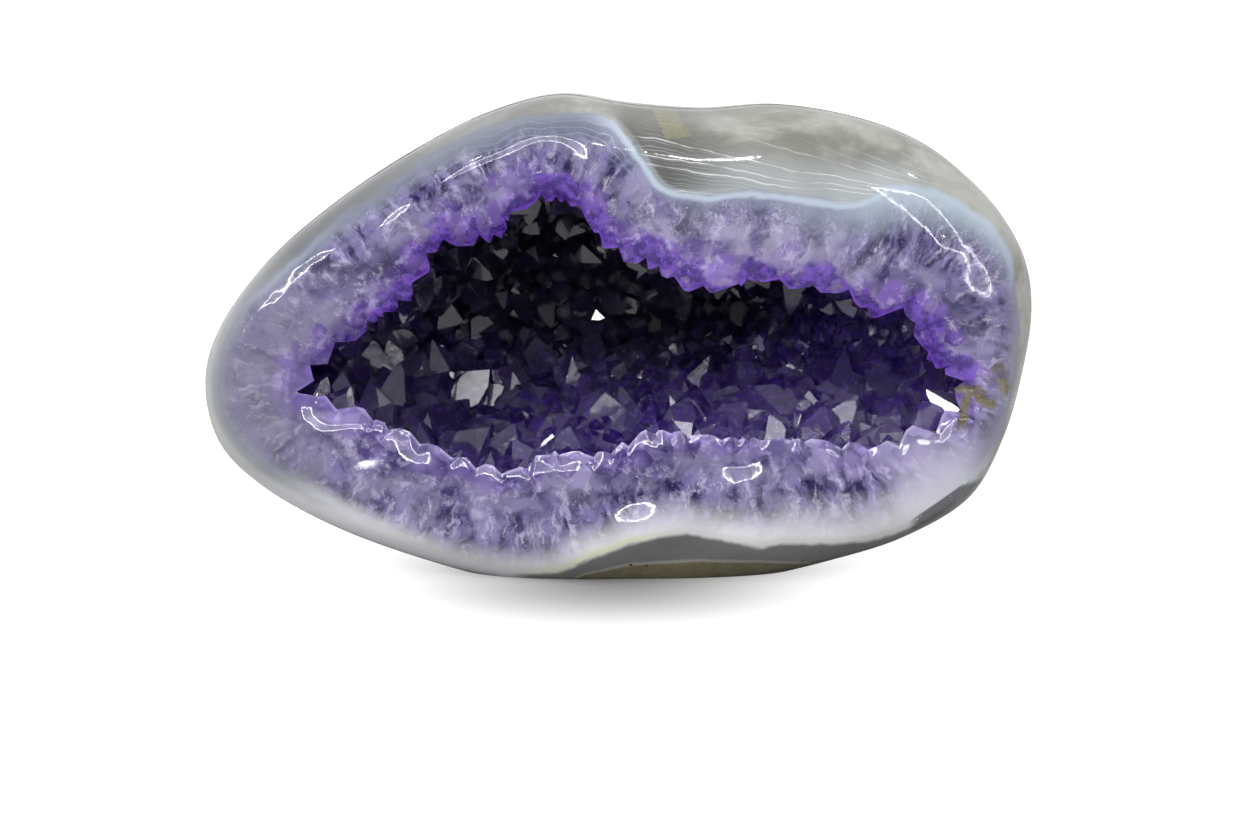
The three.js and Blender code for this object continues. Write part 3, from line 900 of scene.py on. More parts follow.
def make_crust(rng, finish):
    """The amethyst crust, from its tree on the hollow's wall, as one plain mesh."""
    kinds, wall, room = crystal_kinds(rng), hollow_wall(), grinding_room()
    modifier = wall.modifiers.new("crust", "NODES")
    modifier.node_group = crust_tree(finish)
    give(modifier, {
        "Crystals": kinds, "Room": room, "Spacing": CRYSTAL_SPACING, "Smallest": CRYSTAL_RADIUS[0],
        "Largest": CRYSTAL_RADIUS[1], "Small Spacing": SMALL_SPACING,
        "Small Smallest": SMALL_RADIUS[0], "Small Largest": SMALL_RADIUS[1], "Lean": CRYSTAL_LEAN,
        "Seed": CRYSTAL_SEED})
    bpy.context.view_layer.update()
    seen = wall.evaluated_get(bpy.context.evaluated_depsgraph_get())
    mesh = bpy.data.meshes.new_from_object(seen)
    mesh.name = "crystal_crust"
    mesh.materials.clear()
    mesh.materials.append(finish)
    mesh.polygons.foreach_set("material_index", np.zeros(len(mesh.polygons), np.int32))
    piece = bpy.data.objects.new("crystal_crust", mesh)
    bpy.context.scene.collection.objects.link(piece)
    for helper in (wall, room, *kinds.objects):
        bpy.data.objects.remove(helper)
    bpy.data.collections.remove(kinds)
    drop_specks(piece)
    tone_facets(piece, rng)
    return piece


def tone_facets(piece, rng):
    """A random value for each flat facet, shared by the triangles that it is made of."""
    faces = piece.data.polygons
    normals = np.array([f.normal for f in faces])
    reach = np.einsum("ij,ij->i", normals, np.array([f.center for f in faces]))
    key = np.column_stack((np.round(normals * 60), np.round(reach / (0.15 * MM))))
    _, facet = np.unique(key, axis=0, return_inverse=True)
    values = rng.random(facet.max() + 1)[facet.ravel()].astype(np.float32)
    piece.data.attributes.new("facet", "FLOAT", "FACE").data.foreach_set("value", values)


def drop_specks(piece):
    """Drops closed specks that stand apart from the crust."""
    shell = bmesh.new()
    shell.from_mesh(piece.data)
    shell.verts.ensure_lookup_table()
    seen, islands = set(), []
    for start in shell.verts:
        if start.index in seen:
            continue
        island, queue = [], [start]
        seen.add(start.index)
        while queue:
            v = queue.pop()
            island.append(v)
            for e in v.link_edges:
                other = e.other_vert(v)
                if other.index not in seen:
                    seen.add(other.index)
                    queue.append(other)
        islands.append(island)
    largest = max(len(i) for i in islands)
    loose = [v for island in islands if len(island) < min(SPECK, largest) for v in island]
    if loose:
        bmesh.ops.delete(shell, geom=loose, context="VERTS")
    shell.to_mesh(piece.data)
    shell.free()


# Finishes

def veil_group():
    """Cloudy growth in quartz: tones of columns and of crystals, veils, clouds and fine bright flecks."""
    tree = bpy.data.node_groups.new("quartz_veils", "ShaderNodeTree")
    for name, kind in (("Columns", "Vector"), ("Place", "Vector"), ("Blocks", "Float")):
        tree.interface.new_socket(name, in_out="INPUT", socket_type="NodeSocket" + kind)
    for name in (
        "Column Tone", "Crystal Tone", "Crystal Seams", "Crystal Heart", "Veils", "Clouds", "Flecks",
    ):
        tree.interface.new_socket(name, in_out="OUTPUT", socket_type="NodeSocketFloat")
    w = Wiring(tree)
    given = w.add("NodeGroupInput").outputs
    here = given["Place"]
    sway = w.add("ShaderNodeTexNoise", None, Vector=here, Scale=0.3, Detail=3.0)
    shift = w.vector("SUBTRACT", sway.outputs["Color"], (0.5, 0.5, 0.5))
    swayed = w.vector("ADD", given["Columns"], w.vector("MULTIPLY", shift, (4.0, 4.0, 4.0)))
    along = w.vector("MULTIPLY", swayed, (1.0, 1.0, 0.5))
    column_tone = w.remap(w.noise(along, 0.34, 4.0, 0.55, 0.2), 0.38, 0.62)
    blocks = w.vector("ADD", here, w.vector("MULTIPLY", shift, (1.2, 1.2, 1.2)))
    crystal_tone = w.cell_tone(blocks, 0.3)
    edges = w.remap(w.cells(blocks, 0.3, "DISTANCE_TO_EDGE"), 0.0, 0.1, 1.0, 0.0)
    seams = w.times(edges, w.remap(w.noise(here, 0.35, 3.0), 0.45, 0.62))
    heart = w.remap(w.cells(blocks, 0.3), 0.1, 0.75, 1.0, 0.0)
    streaks = w.noise(along, 0.5, 7.0, 0.66, 0.3)
    wisps = w.noise(here, 0.36, 7.0, 0.66, 0.3)
    veils = w.remap(w.blend(given["Blocks"], streaks, wisps), 0.5, 0.68)
    clouds = w.remap(w.noise(here, 0.15, 4.0, 0.6, 0.6), 0.4, 0.62)
    rare = w.remap(w.noise(here, 0.4, 2.0), 0.58, 0.72)
    flecks = w.times(w.remap(w.cells(here, 1.3), 0.08, 0.2, 1.0, 0.0), rare)
    w.add(
        "NodeGroupOutput", None, Column_Tone=column_tone, Crystal_Tone=crystal_tone,
        Crystal_Seams=seams, Crystal_Heart=heart, Veils=veils, Clouds=clouds, Flecks=flecks)
    return tree


def new_finish(name, kind="ShaderNodeBsdfPrincipled"):
    """A material with one shader on its output. Returns it, its wiring, the shader and the output."""
    finish = bpy.data.materials.new(name)
    finish.use_nodes = True
    finish.node_tree.nodes.clear()
    w = Wiring(finish.node_tree)
    out = w.add("ShaderNodeOutputMaterial")
    shader = w.add(kind)
    w.tree.links.new(shader.outputs[0], out.inputs["Surface"])
    return finish, w, shader, out


class StoneValues:
    """What the layers of the polished stone read at each point of it, in millimetres and shares."""

    def __init__(self, w, veils):
        self.here = w.here()
        self.x, self.y, self.z = w.axes(self.here)
        self.growth, self.lip = w.value_of("growth"), w.value_of("lip")
        self.width = w.value_of("pale_width")
        self.inner = w.remap(w.minus(self.growth, self.width), 2.0, 9.0)
        self.grown = w.use(veils, Columns=w.value_of("columns", True), Place=self.here, Blocks=self.inner)
        self.ragged = w.sway(3.0, self.here, 1.0, 5.0, 0.65)
        self.depth = w.plus(self.growth, w.sway(1.8, self.here, 0.2, 3.0))
        self.roof = w.remap(self.z, 26.0, 40.0)
        self.left_end = w.times(w.remap(self.x, -44.0, -58.0), w.remap(self.z, 62.0, 46.0))
        self.left_foot = w.times(w.remap(self.x, -14.0, -20.0), w.remap(self.z, 20.0, 12.0))
        self.right_end = w.times(
            w.remap(self.x, 58.0, 65.0), w.remap(self.z, 58.0, 50.0), w.remap(self.z, 16.0, 26.0))


def agate(w, s):
    """Grey agate with faint clouds and contour bands, brownish behind and bluish on the left."""
    clouds = w.noise(s.here, 0.05, 5.0, 0.6, 0.5)
    grey = w.mix(w.remap(clouds, 0.38, 0.64), tone(124, 123, 114), tone(178, 179, 173))
    contour = w.plus(s.growth, w.times(w.noise(s.here, 0.05, 3.0), 10.0))
    band = w.remap(w.layers(contour, 0.4, 3.0, 0.6), 0.35, 0.7, 0.0, 0.28)
    grey = w.mix(band, grey, tone(118, 117, 108))
    blotches = w.remap(w.noise(s.here, 0.035, 4.0, 0.6, 0.8), 0.42, 0.66, 0.0, 0.5)
    grey = w.mix(w.times(w.remap(s.y, -6.0, 12.0), blotches), grey, tone(98, 96, 78))
    clouded = w.plus(s.growth, w.times(w.remap(clouds, 0.36, 0.66), -9.0))
    left = w.times(w.remap(s.x, -36.0, 0.0, 1.0, 0.0), w.remap(clouded, -22.0, -6.0))
    grey = w.mix(w.times(left, 0.85), grey, tone(98, 101, 108))
    rim = w.times(w.remap(s.x, -10.0, -30.0), w.remap(s.growth, -5.0, -2.0, 0.5, 0.0))
    return w.mix(rim, grey, tone(84, 84, 78))


def growth_lines(w, s):
    """Fine white lines that fan out from the right, and the part of the agate that they cross."""
    fan = w.math("ARCTAN2", w.minus(s.z, FAN_AT[1]), w.minus(FAN_AT[0], s.x))
    waved = w.plus(w.times(fan, DEGREES), w.times(w.noise(s.here, 0.07, 3.0), 4.5))
    line = w.cells(waved, 0.36, "DISTANCE_TO_EDGE", voronoi_dimensions="1D")
    faint = w.cells(waved, 1.7, "DISTANCE_TO_EDGE", voronoi_dimensions="1D")
    broken = w.remap(w.noise(s.here, 0.16, 3.0), 0.35, 0.62, 0.15, 1.0)
    lines = w.times(w.remap(line, 0.012, 0.05, 0.95, 0.0), broken)
    fainter = w.times(w.remap(faint, 0.03, 0.14, 0.26, 0.0), broken)
    low = w.remap(w.plus(s.z, w.times(s.x, 0.12)), 78.0, 84.0, 1.0, 0.0)
    window = w.times(
        low, w.remap(s.y, -13.0, -4.0, 1.0, 0.0), w.remap(s.x, 2.0, 6.0),
        w.remap(s.x, 46.0, 60.0, 1.0, 0.0), w.remap(s.z, 60.0, 66.0))
    return w.times(w.math("MAXIMUM", lines, fainter), window), window


def grey_rind(w, s):
    """The agate outside the pale band: its window of white lines, its light ends and the olive layer."""
    lines, window = growth_lines(w, s)
    pale_foot = w.times(window, w.remap(s.growth, -10.0, -1.5, 0.1, 0.75))
    grey = w.mix(pale_foot, agate(w, s), tone(178, 184, 188))
    dusk = w.times(
        w.remap(s.x, 8.0, 24.0, 1.0, 0.0), w.remap(s.x, -4.0, 2.0), w.remap(s.z, 62.0, 74.0, 0.4, 1.0),
        w.remap(s.growth, -1.0, -0.3, 1.0, 0.3), w.remap(s.y, -13.0, -4.0, 1.0, 0.0))
    grey = w.mix(w.times(dusk, 0.85), grey, tone(82, 82, 78))
    right_rim = w.times(w.remap(s.x, 30.0, 60.0), w.remap(s.growth, -9.0, -4.0, 0.5, 0.0))
    grey = w.mix(right_rim, grey, tone(112, 110, 100))
    uneven = w.plus(s.growth, w.times(w.remap(w.noise(s.here, 0.05, 5.0, 0.6), 0.36, 0.66), -7.0))
    light_rim = w.times(w.math("MAXIMUM", s.left_end, s.left_foot), w.remap(uneven, -19.0, -8.0))
    pale_rim = w.mix(w.remap(s.growth, -2.4, -0.6), tone(196, 198, 198), tone(158, 160, 166))
    pale_rim = w.mix(s.left_foot, pale_rim, tone(234, 235, 240))
    grey = w.mix(w.times(light_rim, 0.9), grey, pale_rim)
    grey = w.mix(lines, grey, tone(236, 238, 238))
    wedge = w.times(w.remap(s.z, 14.0, 10.0), w.remap(s.x, -16.0, -6.0))
    grey = w.mix(w.times(wedge, 0.85), grey, tone(102, 103, 105))
    under = w.plus(w.value_of("under"), w.times(s.ragged, 0.2))
    grey = w.mix(w.remap(under, -0.5, -0.1, 0.0, 0.8), grey, tone(150, 149, 140))
    olive = w.mix(w.noise(s.here, 0.6, 4.0), tone(78, 72, 48), tone(128, 120, 88))
    return w.mix(w.remap(under, 0.1, 0.5), grey, olive)


def teeth(w, s, quartz):
    """The crystals cut by the mouth's edge, each with its own tone; painted shade in the grooves and down
    their cut sides, and a painted glint on their edges.
    """
    own, side, notch = w.value_of("tooth_tone"), w.value_of("side_tone"), w.value_of("notch")
    long = w.times(w.minus(1.0, w.times(notch, notch)), w.remap(own, 0.0, 1.0, 2.5, 7.0, "LINEAR"))
    dark = w.mix(s.roof, tone(70, 56, 126), tone(54, 20, 124))
    bright = w.mix(s.roof, tone(164, 154, 200), tone(148, 106, 212))
    crystal = w.mix(w.remap(own, 0.15, 0.85), dark, bright)
    crystal = w.mix(w.times(s.grown["Veils"], 0.75), crystal, tone(206, 196, 232))
    inside = w.remap(w.minus(s.lip, long), -1.2, 0.4, 1.0, 0.0)
    inside = w.times(inside, w.remap(s.grown["Crystal Tone"], 0.2, 0.8, 0.1, 0.6))
    quartz = w.mix(inside, quartz, crystal)

    far = w.remap(w.noise(s.here, 0.12, 4.0, 0.6), 0.38, 0.62, -0.6, 5.4)
    deep = w.remap(w.minus(s.lip, far), -1.6, 0.8, 0.85, 0.0)
    mottled = w.remap(w.noise(s.here, 0.5, 4.0, 0.65), 0.4, 0.62)
    quartz = w.mix(w.times(deep, s.roof), quartz, w.mix(mottled, tone(56, 22, 126), tone(122, 78, 200)))
    # Painted shade in the grooves between the teeth, near the lip.
    painted_groove_shade = w.times(w.remap(notch, 0.8, 1.0), w.remap(s.lip, 0.0, 2.0, 0.3, 0.0))
    quartz = w.mix(painted_groove_shade, quartz, tone(46, 28, 96))
    # Painted highlight: a thin bright glint along the teeth's edges.
    rim = w.times(w.remap(s.lip, 0.1, 0.7, 0.7, 0.0), w.remap(side, 0.3, 0.8))
    quartz = w.mix(rim, quartz, w.mix(s.roof, tone(190, 180, 226), tone(142, 92, 230)))

    flank_below = w.mix(side, tone(58, 46, 104), tone(160, 150, 204))
    flank_above = w.mix(side, tone(38, 16, 92), tone(132, 84, 222))
    flank = w.mix(s.roof, flank_below, flank_above)
    # Painted shade: the cut sides darken towards the hollow's wall.
    flank_into_shade = w.mix(w.remap(s.lip, -5.0, -1.0), tone(30, 18, 66), flank)
    return w.mix(w.remap(s.lip, -0.9, -0.1, 1.0, 0.0), quartz, flank_into_shade)


def veiled_quartz(w, s):
    """The massive quartz: columns by the pale band and crystals nearer the mouth, with violet tips."""
    grown = s.grown
    blocky = w.plus(w.times(grown["Crystal Tone"], 0.5), w.times(grown["Crystal Heart"], 0.5))
    quartz_tone = w.blend(s.inner, grown["Column Tone"], blocky)
    quartz = w.mix(quartz_tone, tone(42, 35, 80), tone(128, 118, 168))
    quartz = w.mix(w.times(grown["Clouds"], 0.5), quartz, tone(160, 154, 186))
    reach = w.plus(w.remap(w.noise(s.here, 0.07, 2.0), 0.35, 0.65, 0.5, 6.0), w.times(s.roof, 1.5))
    steps = w.times(w.minus(grown["Crystal Tone"], 0.5), 5.0)
    near = w.minus(w.plus(s.lip, steps), reach)
    violet_below = w.mix(blocky, tone(60, 46, 106), tone(142, 126, 188))
    violet_above = w.mix(blocky, tone(56, 26, 122), tone(144, 106, 212))
    violet = w.mix(s.roof, violet_below, violet_above)
    comes = w.noise(w.vector("ADD", s.here, (31.0, 0.0, 0.0)), 0.055, 2.0)
    comes = w.times(w.remap(near, -1.5, 1.0, 1.0, 0.0), w.remap(comes, 0.38, 0.58, 0.35, 0.95))
    quartz = w.mix(comes, quartz, violet)
    veil = w.mix(w.remap(s.lip, 1.0, 6.0), tone(160, 136, 214), tone(200, 194, 222))
    quartz = w.mix(w.times(grown["Veils"], 0.8), quartz, veil)
    seam = w.times(grown["Crystal Seams"], w.remap(near, 0.0, 8.0, 0.16, 0.1))
    quartz = w.mix(seam, quartz, tone(196, 186, 226))
    grainy = w.times(w.remap(s.z, 50.0, 58.0), w.remap(s.x, 2.0, 14.0))
    grains = w.times(
        w.remap(w.noise(s.here, 1.8, 4.0, 0.75), 0.47, 0.58), w.plus(w.times(grainy, 0.8), 0.1),
        w.remap(s.depth, 3.0, 9.0, 1.0, 0.0))
    quartz = w.mix(grains, quartz, tone(66, 62, 92))
    roof_middle = w.times(
        w.remap(s.x, 0.0, 8.0), w.remap(s.x, 38.0, 48.0, 1.0, 0.0), w.remap(s.z, 48.0, 54.0),
        w.remap(grown["Clouds"], 0.0, 1.0, 0.1, 0.32))
    quartz = w.mix(roof_middle, quartz, tone(204, 198, 226))
    quartz = teeth(w, s, quartz)
    quartz = w.mix(grown["Flecks"], quartz, tone(236, 232, 246))
    low_right = w.times(w.remap(s.x, 44.0, 56.0), w.remap(s.z, 20.0, 30.0, 1.0, 0.0))
    quartz = w.mix(w.times(low_right, 0.75), quartz, tone(206, 200, 226))
    return w.mix(w.remap(s.x, -44.0, -66.0, 0.0, 0.6), quartz, tone(132, 129, 148))


def pale_band(w, s, quartz, grey):
    """Milky chalcedony between the quartz and the agate, with its crisp light line and fine layers."""
    haze = w.math("DIVIDE", w.plus(s.depth, w.times(s.ragged, 0.5)), s.width)
    milk = w.mix(w.remap(s.z, 12.0, 31.0, 1.0, 0.0), tone(148, 156, 176), tone(240, 240, 242))
    high_right = w.times(w.remap(s.x, 36.0, 46.0), w.remap(s.z, 54.0, 64.0))
    milk = w.mix(high_right, milk, tone(184, 198, 210))
    milk = w.mix(w.times(s.left_end, w.remap(s.z, 12.0, 22.0)), milk, tone(134, 136, 150))
    milk = w.mix(s.right_end, milk, tone(134, 131, 150))
    body = w.mix(w.remap(haze, 0.0, 1.15, 0.9, 0.0), quartz, milk)

    crisp = w.times(w.remap(s.x, -14.0, 4.0), w.remap(s.z, 50.0, 60.0), w.remap(s.x, 42.0, 56.0, 1.0, 0.3))
    crisp = w.math("MAXIMUM", crisp, w.remap(s.z, 46.0, 68.0, 0.5, 0.2))
    foot = w.times(w.remap(s.z, 8.0, 13.0, 1.0, 0.0), w.remap(s.x, -24.0, -12.0, 0.5, 1.0))
    plain = w.times(w.math("MAXIMUM", s.left_end, s.right_end), 0.8)
    crisp = w.times(w.math("MAXIMUM", crisp, foot), w.minus(1.0, plain))
    line = w.remap(w.math("ABSOLUTE", w.minus(s.depth, 0.7)), 0.1, 1.0, 0.9, 0.0)
    creamy = w.times(w.remap(s.x, -18.0, -10.0), w.remap(s.x, 2.0, 14.0, 1.0, 0.0))
    cream = w.mix(creamy, tone(218, 220, 218), tone(226, 226, 198))
    line_tone = w.mix(w.remap(s.z, 8.0, 16.0), cream, tone(192, 204, 218))
    body = w.mix(w.times(line, crisp), body, line_tone)

    waved = w.plus(s.depth, w.times(w.noise(s.here, 0.1, 2.0), 2.0))
    layer = w.remap(w.layers(waved, 2.6, 2.0), 0.52, 0.64)
    top = w.times(
        w.remap(s.z, 62.0, 70.0), w.remap(s.x, -30.0, -12.0, 0.15, 0.6), w.remap(s.x, -4.0, 6.0, 1.0, 0.0))
    thin = w.times(w.remap(s.depth, 2.5, 5.5, 1.0, 0.0), w.remap(s.depth, -0.5, 0.5))
    body = w.mix(w.times(layer, top, thin), body, tone(210, 214, 226))
    shaded = w.times(
        w.remap(s.z, 50.0, 68.0), w.remap(s.x, -8.0, 2.0, 1.0, 0.0), w.remap(haze, 0.2, 1.1, 0.7, 0.0))
    body = w.mix(shaded, body, tone(84, 88, 106))
    return w.mix(w.remap(s.depth, -0.6, 0.5), grey, body)


def marks(w, s, body):
    """The buff patch at the top, clay in the cracks, dark chips low on the right, and small pits."""
    rough = w.sway(1.2, s.here, 0.9, 4.0)
    buff = w.mix(w.noise(s.here, 1.2, 3.0), tone(98, 98, 76), tone(146, 144, 116))
    inside = w.remap(w.plus(w.value_of("patch"), rough), -0.15, 0.15)
    body = w.mix(w.times(inside, 0.92), body, buff)
    edge = w.plus(w.value_of("crevice"), rough, w.sway(3.6, s.here, 0.45, 5.0, 0.65))
    clay = w.mix(w.noise(s.here, 0.8, 4.0), tone(88, 76, 62), tone(166, 160, 136))
    body = w.mix(w.remap(edge, 0.45, 1.1, 1.0, 0.0), body, clay)
    chips = w.remap(w.noise(s.here, 0.35, 5.0, 0.7), 0.34, 0.42)
    chipped = w.times(chips, w.remap(w.value_of("chipped"), 0.3, 0.7))
    body = w.mix(w.times(chipped, 0.8), body, tone(50, 50, 54))
    pits = w.remap(w.cells(s.here, 0.42), 0.1, 0.16, 1.0, 0.0)
    sparse = w.times(pits, w.remap(w.noise(s.here, 0.12, 2.0), 0.55, 0.62))
    window = w.times(w.remap(s.x, -2.0, 2.0), w.remap(s.z, 60.0, 66.0))
    outside = w.math("SUBTRACT", w.remap(s.growth, -3.0, -1.5, 1.0, 0.0), window, clamp=True)
    return w.mix(w.times(sparse, outside), body, tone(58, 56, 48))


def polished_stone(veils):
    """The stone's polish over its layers: agate, pale band, quartz, and the marks on them."""
    finish, w, shader, _ = new_finish("polished_stone")
    s = StoneValues(w, veils)
    body = marks(w, s, pale_band(w, s, veiled_quartz(w, s), grey_rind(w, s)))
    w.set_inputs(
        shader, Base_Color=body, Roughness=w.remap(w.noise(s.here, 0.4, 4.0), 0.3, 0.8, 0.04, 0.12),
        IOR=QUARTZ_IOR, Subsurface_Weight=0.3, Subsurface_Radius=(1.0, 0.8, 1.0), Subsurface_Scale=0.001,
        Normal=w.relief(0.12, 0.0004, w.noise(s.here, 0.25, 3.0, 0.5)))
    return finish


def deep_shade(w, here, uneven):
    """How lit the quartz is painted: low in painted shade deep in the hollow, and 1 where it is violet down
    to its root.
    """
    lit = 1.0
    for middle, scale, violet in PAINTED_SHADE_ZONES:
        away = w.length(w.vector("MULTIPLY", w.vector("SUBTRACT", here, middle), scale))
        reach = w.plus(away, w.times(uneven, 0.3))
        lit = w.math("MINIMUM", w.remap(reach, 0.85, 1.45, violet), lit)
    return lit


def hollow_lining():
    """What shows through the crystals: angular patches, as their inner faces throw light about, and painted
    shade deep in the hollow.
    """
    finish, w, shader, _ = new_finish("hollow_lining")
    here = w.here()
    glint = w.remap(w.cell_tone(here, 0.55), 0.35, 0.95)
    violet = w.mix(glint, tone(44, 22, 116), tone(214, 198, 255))
    # dark is the lining's painted shade; the painted shade zones pick it where the hollow lies deep.
    dark = w.mix(glint, tone(8, 7, 16), tone(44, 42, 62))
    lit = deep_shade(w, here, w.noise(here, 0.1))
    w.set_inputs(shader, Base_Color=w.mix(lit, dark, violet), Roughness=0.5)
    return finish


def amethyst(veils):
    """Clear violet crystal: a painted reflection tone for each facet, paler veils, painted glints, and grey
    painted shade deep in the hollow.
    """
    finish, w, shader, out = new_finish("amethyst")
    here = w.here()
    finer = w.vector("MULTIPLY", here, (2.2, 2.2, 2.2))
    grown = w.use(veils, Columns=finer, Place=finer, Blocks=1.0)
    lit = deep_shade(w, here, grown["Clouds"])
    x, _, z = w.axes(here)
    facet = w.value_of("facet")
    floor = w.times(w.remap(z, 22.0, 36.0, 1.0, 0.0), w.remap(x, -30.0, 0.0, 0.4, 1.0))
    # Painted reflection: each facet a lighter or darker violet, and a few nearly white, as if each caught
    # the light its own way.
    violet = w.mix(facet, tone(70, 34, 156), tone(176, 144, 246))
    violet = w.mix(w.times(grown["Clouds"], 0.35), violet, tone(110, 72, 210))
    violet = w.mix(w.remap(facet, 0.72, 0.95, 0.0, 0.7), violet, tone(214, 204, 246))
    veiled = w.times(grown["Veils"], w.remap(floor, 0.0, 1.0, 0.5, 0.9))
    violet = w.mix(veiled, violet, tone(232, 226, 252))
    # Painted glints: the flecks as small bright specks.
    violet = w.mix(grown["Flecks"], violet, tone(250, 248, 255))
    # grey: the crystals' painted shade, for the deep of the hollow.
    grey = w.mix(facet, tone(34, 28, 58), tone(78, 70, 112))
    grey = w.mix(w.times(grown["Veils"], 0.4), grey, tone(120, 114, 150))
    w.set_inputs(
        shader, Base_Color=w.mix(lit, grey, violet), Roughness=0.18, IOR=CRYSTAL_IOR,
        Coat_Weight=1.0, Coat_Roughness=0.02, Coat_IOR=CRYSTAL_IOR, Transmission_Weight=0.8,
        Normal=w.relief(0.06, 0.0003, w.noise(here, 0.7, 3.0, 0.5)))
    tint = w.add("ShaderNodeVolumeAbsorption", None, Color=(0.52, 0.18, 0.88, 1.0), Density=110.0)
    w.tree.links.new(tint.outputs[0], out.inputs["Volume"])
    return finish


# Studio

def aim(thing, at, target):
    """Points a camera or lamp from a place at a target, with its top up."""
    thing.location = at
    forward = np.array(target) - np.array(at)
    forward /= np.linalg.norm(forward)
    side = np.cross(forward, (0.0, 0.0, 1.0))
    side /= np.linalg.norm(side)
    up = np.cross(side, forward)
    thing.rotation_euler = Matrix((side, up, -forward)).transposed().to_euler()


def make_camera():
    """The photograph's camera, with the stone where the photograph shows it."""
    data = bpy.data.cameras.new("camera")
    data.lens = LENS
    data.sensor_width = SENSOR
    data.clip_start, data.clip_end = 0.05, 20
    camera = bpy.data.objects.new("camera", data)
    bpy.context.scene.collection.objects.link(camera)
    back = np.array((0, -math.cos(CAMERA_RISE), math.sin(CAMERA_RISE)))
    up = np.array((0, math.sin(CAMERA_RISE), math.cos(CAMERA_RISE)))
    pixel = CAMERA_DISTANCE * SENSOR / LENS / PHOTO[0]
    target = (
        STONE_MIDDLE + np.array((1.0, 0, 0)) * (PHOTO[0] / 2 - STONE_AT[0]) * pixel
        - up * (PHOTO[1] / 2 - STONE_AT[1]) * pixel)
    aim(camera, STONE_MIDDLE + back * CAMERA_DISTANCE, target)
    bpy.context.scene.camera = camera


def sheet(half_width, half_height):
    """The four corners of a flat sheet round its middle."""
    return [(x * half_width, y * half_height) for x, y in ((-1, -1), (1, -1), (1, 1), (-1, 1))]


def flat_object(name, corners, faces, finishes):
    """A flat mesh object from corners on a plane."""
    mesh = bpy.data.meshes.new(name)
    mesh.from_pydata([(x, y, 0) for x, y in corners], [], faces)
    for finish in finishes:
        mesh.materials.append(finish)
    made = bpy.data.objects.new(name, mesh)
    bpy.context.scene.collection.objects.link(made)
    return made


def make_floor():
    """A white floor, seen as pure white but for the soft shadow round the foot of the stone, partly painted
    by leaving out the camera's glow there and darkening its tone.
    """
    finish, w, shader, _ = new_finish("floor")
    away = w.length(w.vector("MULTIPLY", w.vector("SUBTRACT", w.here(), SHADOW_AT), SHADOW_SCALE))
    seen = w.add("ShaderNodeLightPath").outputs["Is Camera Ray"]
    # Painted shadow: the camera sees a darker tone, and no glow, inside the ellipse round the foot.
    w.set_inputs(
        shader, Base_Color=w.remap(seen, 0.0, 1.0, 0.5, 0.36, "LINEAR"), Roughness=0.9,
        Specular_IOR_Level=0.1, Emission_Color=w.times(w.remap(away, 0.0, 1.0), seen), Emission_Strength=1.0)
    floor = flat_object("floor", sheet(FLOOR_HALF, FLOOR_HALF), [(0, 1, 2, 3)], [finish])


def glow(name, strength):
    """The finish of a lamp's face."""
    finish, w, shader, _ = new_finish(name, "ShaderNodeEmission")
    w.feed(shader, "Strength", strength)
    return finish


def place_lamp(lamp, distance, heading, rise):
    """Stands a lamp off in a direction, in degrees from the front and up, out of the camera's sight."""
    heading, rise = math.radians(heading), math.radians(rise)
    level = math.cos(rise)
    out = np.array((math.sin(heading) * level, -math.cos(heading) * level, math.sin(rise)))
    aim(lamp, distance * out, LAMP_TARGET)
    lamp.visible_camera = False


def make_light_frame(name, distance, heading, rise, size, strip, strengths):
    """A dim panel framed by bright strips, whose reflection is a loop, at a heading from the front."""
    outer = sheet(size[0] / 2, size[1] / 2)
    inner = sheet(size[0] / 2 - strip, size[1] / 2 - strip)
    faces = [(i, (i + 1) % 4, 4 + (i + 1) % 4, 4 + i) for i in range(4)] + [(4, 5, 6, 7)]
    finishes = [glow(name + "_strips", strengths[0]), glow(name + "_panel", strengths[1])]
    lamp = flat_object(name, outer + inner, faces, finishes)
    lamp.data.polygons[4].material_index = 1
    place_lamp(lamp, distance, heading, rise)


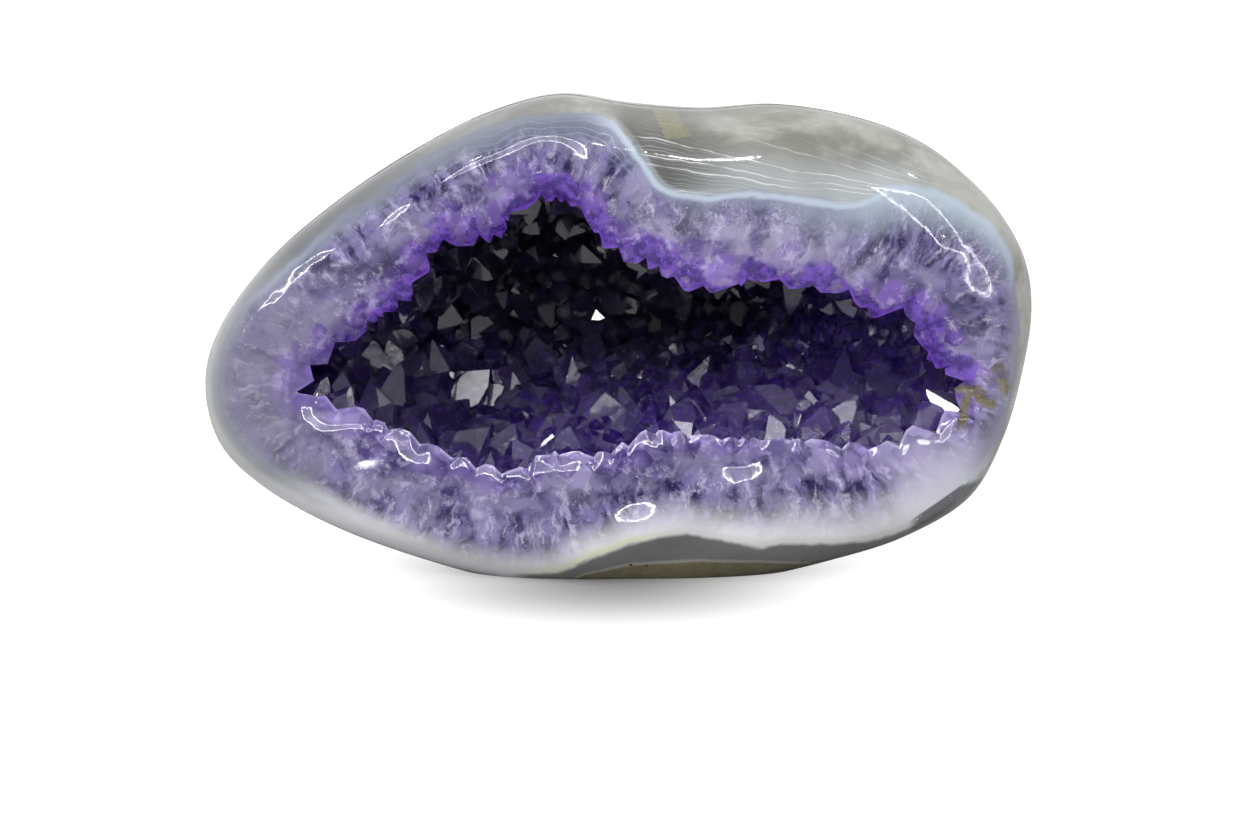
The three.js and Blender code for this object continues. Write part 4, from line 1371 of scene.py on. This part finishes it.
def make_sparks(count, distance, size, strength):
    """Small bright lamps round the front, each of which a facet here and there flashes back."""
    finish = glow("spark", strength)
    for n in range(count):
        lamp = flat_object(f"spark_{n}", sheet(size / 2, size / 2), [(0, 1, 2, 3)], [finish])
        place_lamp(lamp, distance, -64 + 128 * n / (count - 1), 24 + 26 * (n % 2))


def make_world():
    """A white tent: bright walls and roof, open and dim in front, plain white behind the stone."""
    world = bpy.data.worlds.new("tent")
    world.use_nodes = True
    world.node_tree.nodes.clear()
    w = Wiring(world.node_tree)
    _, toward_back, upward = w.axes(w.add("ShaderNodeTexCoord").outputs["Generated"])
    walls = w.remap(toward_back, -0.5, 0.6, 0.06, 0.8)
    roof = w.remap(upward, 0.35, 0.9, 0.0, 0.8)
    seen = w.add("ShaderNodeLightPath").outputs["Is Camera Ray"]
    strength = w.blend(seen, w.plus(walls, roof), 1.0)
    tent = w.add("ShaderNodeBackground", None, Color=(1, 1, 1, 1), Strength=strength)
    out = w.add("ShaderNodeOutputWorld")
    w.tree.links.new(tent.outputs[0], out.inputs["Surface"])
    bpy.context.scene.world = world


def set_view():
    """Plain colours, without a film look."""
    view = bpy.context.scene.view_settings
    view.view_transform = "Standard"
    view.look = "None"


rng = np.random.default_rng(7)
make_camera()
set_view()
make_world()
make_floor()
make_light_frame(
    "light_above", distance=0.66, heading=-14, rise=32,
    size=(0.3, 0.24), strip=0.02, strengths=(24.0, 2.3))
make_light_frame(
    "light_left", distance=0.75, heading=-70, rise=26,
    size=(0.22, 0.15), strip=0.014, strengths=(26.0, 1.0))
make_light_frame(
    "light_right", distance=0.75, heading=40, rise=24,
    size=(0.22, 0.34), strip=0.011, strengths=(22.0, 0.8))
make_sparks(count=6, distance=0.7, size=0.02, strength=80.0)

quartz_veils = veil_group()
stone = make_stone(rng, [polished_stone(quartz_veils), hollow_lining()])
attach(stone, "root")
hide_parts("geode_stone")
crust = make_crust(rng, amethyst(quartz_veils))
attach(crust, "root")
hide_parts("amethyst_crust")
